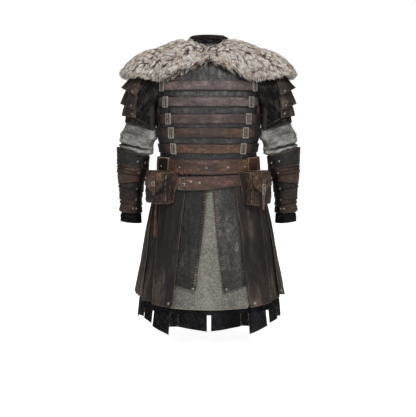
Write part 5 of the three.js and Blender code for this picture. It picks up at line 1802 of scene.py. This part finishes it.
# ---- pouches
@dataclass
class Pouch:
    """A soft belt pouch with its flap, closing strap, small buckles and belt loop."""

    side: Side
    angle: float
    foot: float
    deep: float
    strap_foot: float
    half: float = 17
    top: float = -452

    def outward(self) -> Array:
        """The level way out of the body at the pouch."""
        out = BODY.normal(self.angle, -440.0) * (1, 1, 0)
        return out / np.linalg.norm(out)

    def face(self, across: Array, down: Array, off: float) -> tuple[Array, Array]:
        """Front and back places of the pouch.

        Args:
            across: Place across it, 0 to 1.
            down: Place down it, 0 to 1.
            off: How far in front of the bag.
        Returns:
            The front's places and the back's.
        """
        across, down = np.broadcast_arrays(np.asarray(across, float), np.asarray(down, float))
        out = self.outward()
        side = np.array([-out[1], out[0], 0])
        middle = BODY.drape(self.angle, (self.top + self.foot) / 2, 11.8)
        back = BODY.drape(
            self.angle + (across * 2 - 1) * self.half, self.top + (self.foot - self.top) * down, 11.8)
        bulge = np.minimum(
            1, 3.2 * np.sin(math.pi * (0.08 + 0.84 * down)) * np.sin(math.pi * (0.1 + 0.8 * across)))
        front = (middle + side * ((across * 2 - 1) * (49 + 3 * down))[..., None]
                 + out * (self.deep * (0.82 + 0.18 * bulge) - 4 + 7 * down + off)[..., None])
        front[..., 2] = self.top + (self.foot - self.top) * down - off * 0.4
        return front, back

    def build(self) -> None:
        """Makes the pouch."""
        word = self.side.word
        self.bag(word)
        for part, finish in (("flap", FLAP_LEATHER), ("strap", STRAP_LEATHER)):
            node = f"pouch_{part}_{word}"
            piece = pattern_copy(node, f"{node}_hide", 16)
            refine(piece, 3, 0.85)
            places = points_of(piece)
            out = BODY.normal(self.angle, -440.0)
            shift(piece, np.tile(out, (len(places), 1)),
                  swell(places, (34, 34, 30), 101 + len(part)) * 0.9 + 1.4
                  - crease(places, (50, 50, 30), 103, 0.18) * 0.7, 1.6)
            dress(piece, finish, [node])
        self.fastening(word)
        self.loop(word)

    def bag(self, word: str) -> None:
        """The bag itself: a rounded box of soft leather with folded side gussets."""
        across = np.linspace(0, 1, 9)
        down = np.linspace(0, 1, 9)
        deep = np.linspace(0, 1, 6)
        front, back = self.face(across[:, None], down[None, :], 0.0)
        index: dict[tuple[int, int, int], int] = {}
        points: list[Array] = []
        for i, a in enumerate(across):
            for j, d in enumerate(down):
                for k, s in enumerate(deep):
                    if i in (0, 8) or j in (0, 8) or k in (0, 5):
                        place = back[i, j] * (1 - s) + front[i, j] * s
                        if i in (0, 8) and 0 < k < 5:
                            inward = (front[4, j] - front[i, j]) / np.linalg.norm(front[4, j] - front[i, j])
                            full = math.sin(math.pi * min(0.96, max(0.1, d)))
                            place = place + inward * (4.5 * math.sin(math.pi * s * 3) ** 2 * full)
                        if j == 8:
                            place = place + np.array([0, 0, 2.5 * math.sin(math.pi * a) * -1 + 2.2])
                        index[i, j, k] = len(points)
                        points.append(place)
        faces = []
        for i in range(8):
            for j in range(8):
                for k in (0, 5):
                    faces.append([index[i, j, k], index[i + 1, j, k], index[i + 1, j + 1, k],
                                  index[i, j + 1, k]])
        for i in range(8):
            for k in range(5):
                for j in (0, 8):
                    faces.append([index[i, j, k], index[i + 1, j, k], index[i + 1, j, k + 1],
                                  index[i, j, k + 1]])
        for j in range(8):
            for k in range(5):
                for i in (0, 8):
                    faces.append([index[i, j, k], index[i, j + 1, k], index[i, j + 1, k + 1],
                                  index[i, j, k + 1]])
        piece = make_piece(f"pouch_{word}_hide", np.array(points), faces)
        face_out(piece)
        refine(piece, 2, 0.45, 50)
        places = points_of(piece)
        out = normals_of(piece)
        away = BODY.normal(self.angle, -440.0)
        free = ease((places - BODY.drape(self.angle, -505.0, 11.8)) @ away, 2, 12)
        ridges = swell(places, (48, 48, 44), 107) * 0.9 - crease(places, (34, 34, 90), 109, 0.2) * 2.2
        shift(piece, out, ridges * free, 2.6)
        dress(piece, POUCH_LEATHER, [f"pouch_{word}"], 60)

    def fastening(self, word: str) -> None:
        """The small buckles of the closing strap, two on the right and one on the left."""
        top = self.face(0.5, 0.44 if self.side is Side.RIGHT else 0.37, 0.0)[0]
        out = self.outward()
        model = buckle_model(15, 17, 2.2, 2.2, (-0.2,))
        spots = [stand_on(top + out * 9.6, out), stand_on(top + out * 9.6 + np.array([0, 0, -19]), out)]
        dress(join_copies(f"pouch_buckle_{word}", model, spots if self.side is Side.RIGHT else spots[:1]),
              BRASS)

    def loop(self, word: str) -> None:
        """The wide loop that hangs the pouch over the main belt."""
        loop_angle, half = (-59, 10.5) if self.side is Side.LEFT else (57.5, 9.5)
        top_edge = Belts().main_edges(loop_angle)[0] + 0.7
        profile = [(11.8, self.top - 14), (14.2, self.top - 14), (14.4, top_edge + 0.5),
                   (13.2, top_edge + 2.6), (7.5, top_edge + 2.6), (3.6, top_edge + 1.6), (3.5, top_edge - 6),
                   (6.1, top_edge - 6), (6.1, top_edge), (11.8, top_edge)]
        angles = np.linspace(loop_angle - half, loop_angle + half, 7)
        grid = np.array([[BODY.drape(angle, height, off) for off, height in profile] for angle in angles])
        points = grid.reshape(-1, 3)
        count = len(profile)
        faces = [[i * count + j, (i + 1) * count + j, (i + 1) * count + (j + 1) % count,
                  i * count + (j + 1) % count] for i in range(len(angles) - 1) for j in range(count)]
        end = [[0, 1, 2, 9], [2, 3, 9], [3, 4, 8, 9], [4, 5, 8], [5, 6, 7, 8]]
        last = (len(angles) - 1) * count
        faces += end + [[last + k for k in reversed(face)] for face in end]
        piece = make_piece(f"pouch_loop_{word}", points, faces)
        face_out(piece)
        refine(piece, 1, 0.7)
        dress(piece, LOOP_LEATHER if self.side is Side.LEFT else WARM_LOOP)


@dataclass
class Thong:
    """The loose leather end that hangs below the left pouch."""

    def build(self) -> None:
        """Makes the thong, a little rippled."""
        piece = pattern_copy("hanging_thong", "hanging_thong_hide", 20)
        refine(piece, 2, 0.7)
        places = points_of(piece)
        angle, height = BODY.read(places)
        shift(piece, BODY.normal(angle, height),
              swell(places, (60, 60, 50), 113) * 0.8 + 0.5 + Skirts().relief(places), 2.0)
        dress(piece, THONG_LEATHER, ["hanging_thong"])


# ---- fur mantle
@dataclass
class Mantle:
    """One half of the fur mantle: a hide with thousands of tapered locks combed outward and down."""

    side: Side
    locks: int = 6600
    under_locks: int = 2600
    tuft: int = 9
    depth: float = 15.0

    def build(self) -> None:
        """Makes the hide and its locks."""
        word = self.side.word
        node = f"fur_mantle_{word}"
        shape = pattern_copy(node, "mantle_shape", 30)
        refine(shape, 2, 0.25, 70)
        tree = tree_of(shape)
        hide = self.hide(shape, tree, word)
        top = self.comb(
            shape, tree, self.locks, 7 if self.side is Side.LEFT else 8, f"mantle_locks_{word}", 1.0)
        low = self.comb(
            shape, tree, self.under_locks, 17 if self.side is Side.LEFT else 18, f"mantle_fringe_{word}", 0.0)
        bpy.data.objects.remove(shape)
        dress(hide, FUR, [node])
        for piece in (top, low):
            dress(piece, FUR, (), 180)
        CUTS["fur_mantle"].declare(hide, "draped", [f"jerkin_back_{word}_hide"], [top, low])

    def hide(self, shape: Piece, tree: BVHTree, word: str) -> Piece:
        """The skin with its dense undercoat, under the locks.

        Args:
            shape: The fur's full form.
            tree: The same, for rays.
            word: The side's word.
        Returns:
            The skin, with tip and tone attributes.
        """
        piece = link_piece(f"mantle_hide_{word}", shape.data.copy())
        places = points_of(piece)
        out = normals_of(piece)
        moved = places.copy()
        for at, (place, way) in enumerate(zip(places, out)):
            lean = way[2] + 0.7 * float(np.dot(way[:2], place[:2])) / (np.linalg.norm(place[:2]) + 1)
            if lean <= 0.15:
                moved[at] = place + way * -1.5
                continue
            hit = tree.ray_cast(Vector(place - way * 0.5), Vector(-way))
            room = hit[3] if hit[0] is not None else 10
            moved[at] = place - way * min(self.depth, 0.55 * room)
        set_points(piece, self.notch(moved))
        # The undercoat's dark colour is partly its own and partly painted shade deep under the locks.
        set_attribute(piece, "tip", np.full(len(places), 0.22))
        set_attribute(piece, "tone", np.full(len(places), 0.3))
        return piece

    def notch(self, places: Array) -> Array:
        """Lowers the fur at the nape, where the two halves part below the collar."""
        drop = 20 * (1 - ease(np.abs(places[:, 0]), 22, 74)) * ease(
            places[:, 2], -62, -4) * ease(-places[:, 1], 10, 50)
        return places - drop[:, None] * np.array([0, 0.1, 1])

    @staticmethod
    def rein(tree: BVHTree, tip: Array, reach: float) -> Array:
        """Draws a lock's tip back toward the fur's form until it is within reach of it."""
        for _ in range(5):
            near = tree.find_nearest(Vector(tip))
            if near[0] is None or near[3] < reach or (Vector(tip) - near[0]).dot(near[1]) < 0:
                break
            tip = tip * 0.7 + np.array(near[0]) * 0.3
        return tip

    @staticmethod
    def lock_faces(sides: int) -> list[tuple[int, ...]]:
        """Faces of one lock: three bands, a point and a closed root."""
        faces: list[tuple[int, ...]] = []
        for k in range(3):
            for s in range(sides):
                after = (s + 1) % sides
                faces.append((k * sides + s, k * sides + after, (k + 1) * sides + after, (k + 1) * sides + s))
        faces += [(3 * sides + s, 3 * sides + (s + 1) % sides, 4 * sides) for s in range(sides)]
        faces.append((2, 1, 0))
        return faces

    def comb(self, shape: Piece, tree: BVHTree, count: int, seed: int, name: str, upper: float) -> Piece:
        """Locks over the mantle's outer side.

        Args:
            shape: The fur's full form.
            tree: The same for ray casts.
            count: Number of locks.
            seed: Fixes the scatter.
            name: The piece's name.
            upper: 1 for the coat, 0 for the fringe along the lower edge and the underside.
        Returns:
            The locks as one piece, with tip and tone attributes.
        """
        dice = np.random.default_rng(seed)
        shape.data.calc_loop_triangles()
        corner = np.array([t.vertices for t in shape.data.loop_triangles])
        places = points_of(shape)
        a, b, c = (places[corner[:, k]] for k in range(3))
        normal = np.cross(b - a, c - a)
        area = np.linalg.norm(normal, axis=1)
        normal /= area[:, None]
        middle = (a + b + c) / 3
        radial = middle * (1, 1, 0)
        radial /= np.linalg.norm(radial, axis=1, keepdims=True) + 1e-6
        lean = normal[:, 2] + 0.7 * np.sum(normal * radial, 1)
        weight = area * (
            ease(lean, 0.0, 0.35) if upper else (1 - ease(lean, 0.0, 0.5)) * (middle[:, 2] < -20)
            + 0.05 * area)
        picked = dice.choice(len(corner), count, p=weight / weight.sum())
        u, v = dice.uniform(size=count), dice.uniform(size=count)
        flip = u + v > 1
        u[flip], v[flip] = 1 - u[flip], 1 - v[flip]
        spot = a[picked] + (b - a)[picked] * u[:, None] + (c - a)[picked] * v[:, None]
        out = normal[picked]
        sign = self.side.value
        away = spot * (1, 1, 0)
        away /= np.linalg.norm(away, axis=1, keepdims=True) + 1e-6
        comb = away * 0.75 + np.array([0.45 * sign, 0, 0]) + np.array([0, 0, -1.0])
        clump = np.stack([swell(spot, (42, 42, 42), 200 + k, 16) for k in range(3)], -1)
        comb = comb + clump * 0.55 + dice.normal(size=(count, 3)) * 0.24
        comb -= out * np.sum(comb * out, 1, keepdims=True)
        comb /= np.linalg.norm(comb, axis=1, keepdims=True) + 1e-6
        heads = count // self.tuft
        nearest = np.array([int(np.argmin(((spot[:heads] - place) ** 2).sum(1))) for place in spot])
        head_long = dice.uniform(31, 44, heads) * (1 + 0.2 * swell(spot[:heads], (50, 50, 50), 211))
        head_long += 9 * ease(-spot[:heads, 2], 62, 96)
        lift = out[:heads] * dice.uniform(2.5, 8.5, (heads, 1))
        goal = spot[:heads] + comb[:heads] * head_long[:, None] * 0.86 + lift
        head_tone = 0.5 + 0.3 * swell(spot[:heads], (30, 30, 30), 215) + dice.normal(size=heads) * 0.3
        long = head_long[nearest] * dice.uniform(0.72, 1.08, count)
        base = dice.uniform(1.5, 2.9, count)
        tone = np.clip(head_tone[nearest] + dice.normal(size=count) * 0.16, 0, 1)
        shares = np.array([0.0, 0.34, 0.62, 0.84, 1.0])
        swells = np.array([0.9, 1.0, 0.78, 0.42, 0.03])
        sides = 3
        points, tips, tones = [], [], []
        for at in range(count):
            way, up = comb[at], out[at]
            low = spot[at][2] < -60
            root = spot[at] - up * (self.depth * 0.9 if upper else 6) - way * 3
            tip = spot[at] + way * long[at] * 0.8 + up * dice.uniform(0, 5)
            tip = tip + (goal[nearest[at]] - tip) * dice.uniform(0.5, 0.85)
            reach = 17.0 if low else 7.5
            tip = self.rein(tree, tip, reach)
            across = np.cross(way, up)
            bend = spot[at] + up * 4.5 + way * long[at] * 0.25 + across * dice.normal() * 3.0
            rings = []
            for share, size in zip(shares, swells):
                place = root * (1 - share) ** 2 + bend * 2 * share * (1 - share) + tip * share**2
                if share == 1.0:
                    rings.append([place])
                    continue
                ring = []
                for k in range(sides):
                    turn = 2 * math.pi * k / sides + 0.5
                    ring.append(place
                                + (across * math.cos(turn) + up * 0.6 * math.sin(turn)) * base[at] * size)
                rings.append(ring)
            for share, ring in zip(shares, rings):
                points += ring
                tips += [share] * len(ring)
                tones += [tone[at]] * len(ring)
        block = sides * 4 + 1
        every = [[v + at * block for v in face] for at in range(count) for face in self.lock_faces(sides)]
        piece = make_piece(name, self.notch(np.array(points)), every)
        face_out(piece)
        set_attribute(piece, "tip", np.array(tips))
        set_attribute(piece, "tone", np.array(tones))
        return piece


# ---- studio
@dataclass
class Studio:
    """Pale floor, soft light and the camera."""

    floor_height: float = -1.075

    def build(self) -> None:
        """Sets up the room."""
        self.floor()
        self.light("key", (0.8, -2.4, 1.5), 1.0, 50)
        self.light("fill", (-1.6, -2.3, 0.5), 1.4, 10)
        self.light("top", (0.0, -0.5, 1.9), 1.2, 16)
        self.light("front", (0.3, 2.4, 0.9), 1.8, 26)
        self.sky()
        self.camera()

    def floor(self) -> None:
        """A wide pale floor."""
        bpy.ops.object.select_all(action="DESELECT")
        bpy.ops.mesh.primitive_plane_add(size=60, location=(0, 0, self.floor_height))
        floor = bpy.context.object
        floor.name = "studio_floor"
        material = bpy.data.materials.new("studio_floor")
        material.use_nodes = True
        graph = Graph(material.node_tree)
        place = graph.add("ShaderNodeTexCoord").outputs["Object"]
        tone = graph.ramp(graph.noise(place, 0.8, 3), 0.3, 0.7, 0.9, 0.94)
        shade = graph.add("ShaderNodeCombineColor", {0: tone, 1: tone, 2: tone}).outputs[0]
        glow = graph.ramp(graph.add("ShaderNodeLightPath").outputs["Is Camera Ray"], 0.0, 1.0, 0.1, 0.93)
        shader = graph.add(
            "ShaderNodeBsdfPrincipled",
            {"Base Color": shade, "Roughness": 0.9, "Emission Color": (1, 1, 1, 1), "Emission Strength": glow,
             "Specular IOR Level": 0.1})
        graph.add("ShaderNodeOutputMaterial", {"Surface": shader.outputs[0]})
        floor.data.materials.append(material)

    def light(self, name: str, place: tuple[float, float, float], size: float, power: float) -> None:
        """One soft lamp aimed at the chest.

        Args:
            name: The lamp's name.
            place: Where it hangs, in metres.
            size: Its width, in metres.
            power: In watts.
        """
        data = bpy.data.lights.new(name, "AREA")
        data.shape = "DISK"
        data.size = size
        data.energy = power
        lamp = bpy.data.objects.new(name, data)
        lamp.location = place
        way = Vector((0, 0, -0.45)) - Vector(place)
        lamp.rotation_euler = way.to_track_quat("-Z", "Y").to_euler()
        bpy.context.scene.collection.objects.link(lamp)

    def sky(self) -> None:
        """White surroundings, gentler as light than as background."""
        world = bpy.data.worlds.new("studio")
        bpy.context.scene.world = world
        world.use_nodes = True
        graph = Graph(world.node_tree)
        seen = graph.add("ShaderNodeLightPath").outputs["Is Camera Ray"]
        strength = graph.ramp(seen, 0.0, 1.0, 0.12, 1.05)
        back = graph.add("ShaderNodeBackground", {"Color": (1, 1, 1, 1), "Strength": strength})
        graph.add("ShaderNodeOutputWorld", {"Surface": back.outputs[0]})

    def camera(self) -> None:
        """The camera behind the wearer."""
        data = bpy.data.cameras.new("camera")
        data.lens = 70.46
        data.sensor_width = 36
        lens = bpy.data.objects.new("camera", data)
        lens.location = (-0.00148, -3.0, -0.2516)
        lens.rotation_euler = (math.radians(90 - 6.578), 0, 0)
        bpy.context.scene.collection.objects.link(lens)
        bpy.context.scene.camera = lens
        bpy.context.scene.view_settings.view_transform = "Standard"


def main() -> None:
    """Builds the armour piece by piece."""
    logging.basicConfig(level=logging.INFO, format="%(name)s %(message)s")
    Studio().build()
    parts = [Jerkin(), Skirts(), Straps(), Belts(), Pouch(Side.LEFT, -51.5, -566, 45, -536),
             Pouch(Side.RIGHT, 51.5, -570, 44, -588), Thong(), Arm(Side.LEFT), Arm(Side.RIGHT),
             Mantle(Side.LEFT), Mantle(Side.RIGHT)]
    for part in parts:
        part.build()
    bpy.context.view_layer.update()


if __name__ == "__main__":
    main()
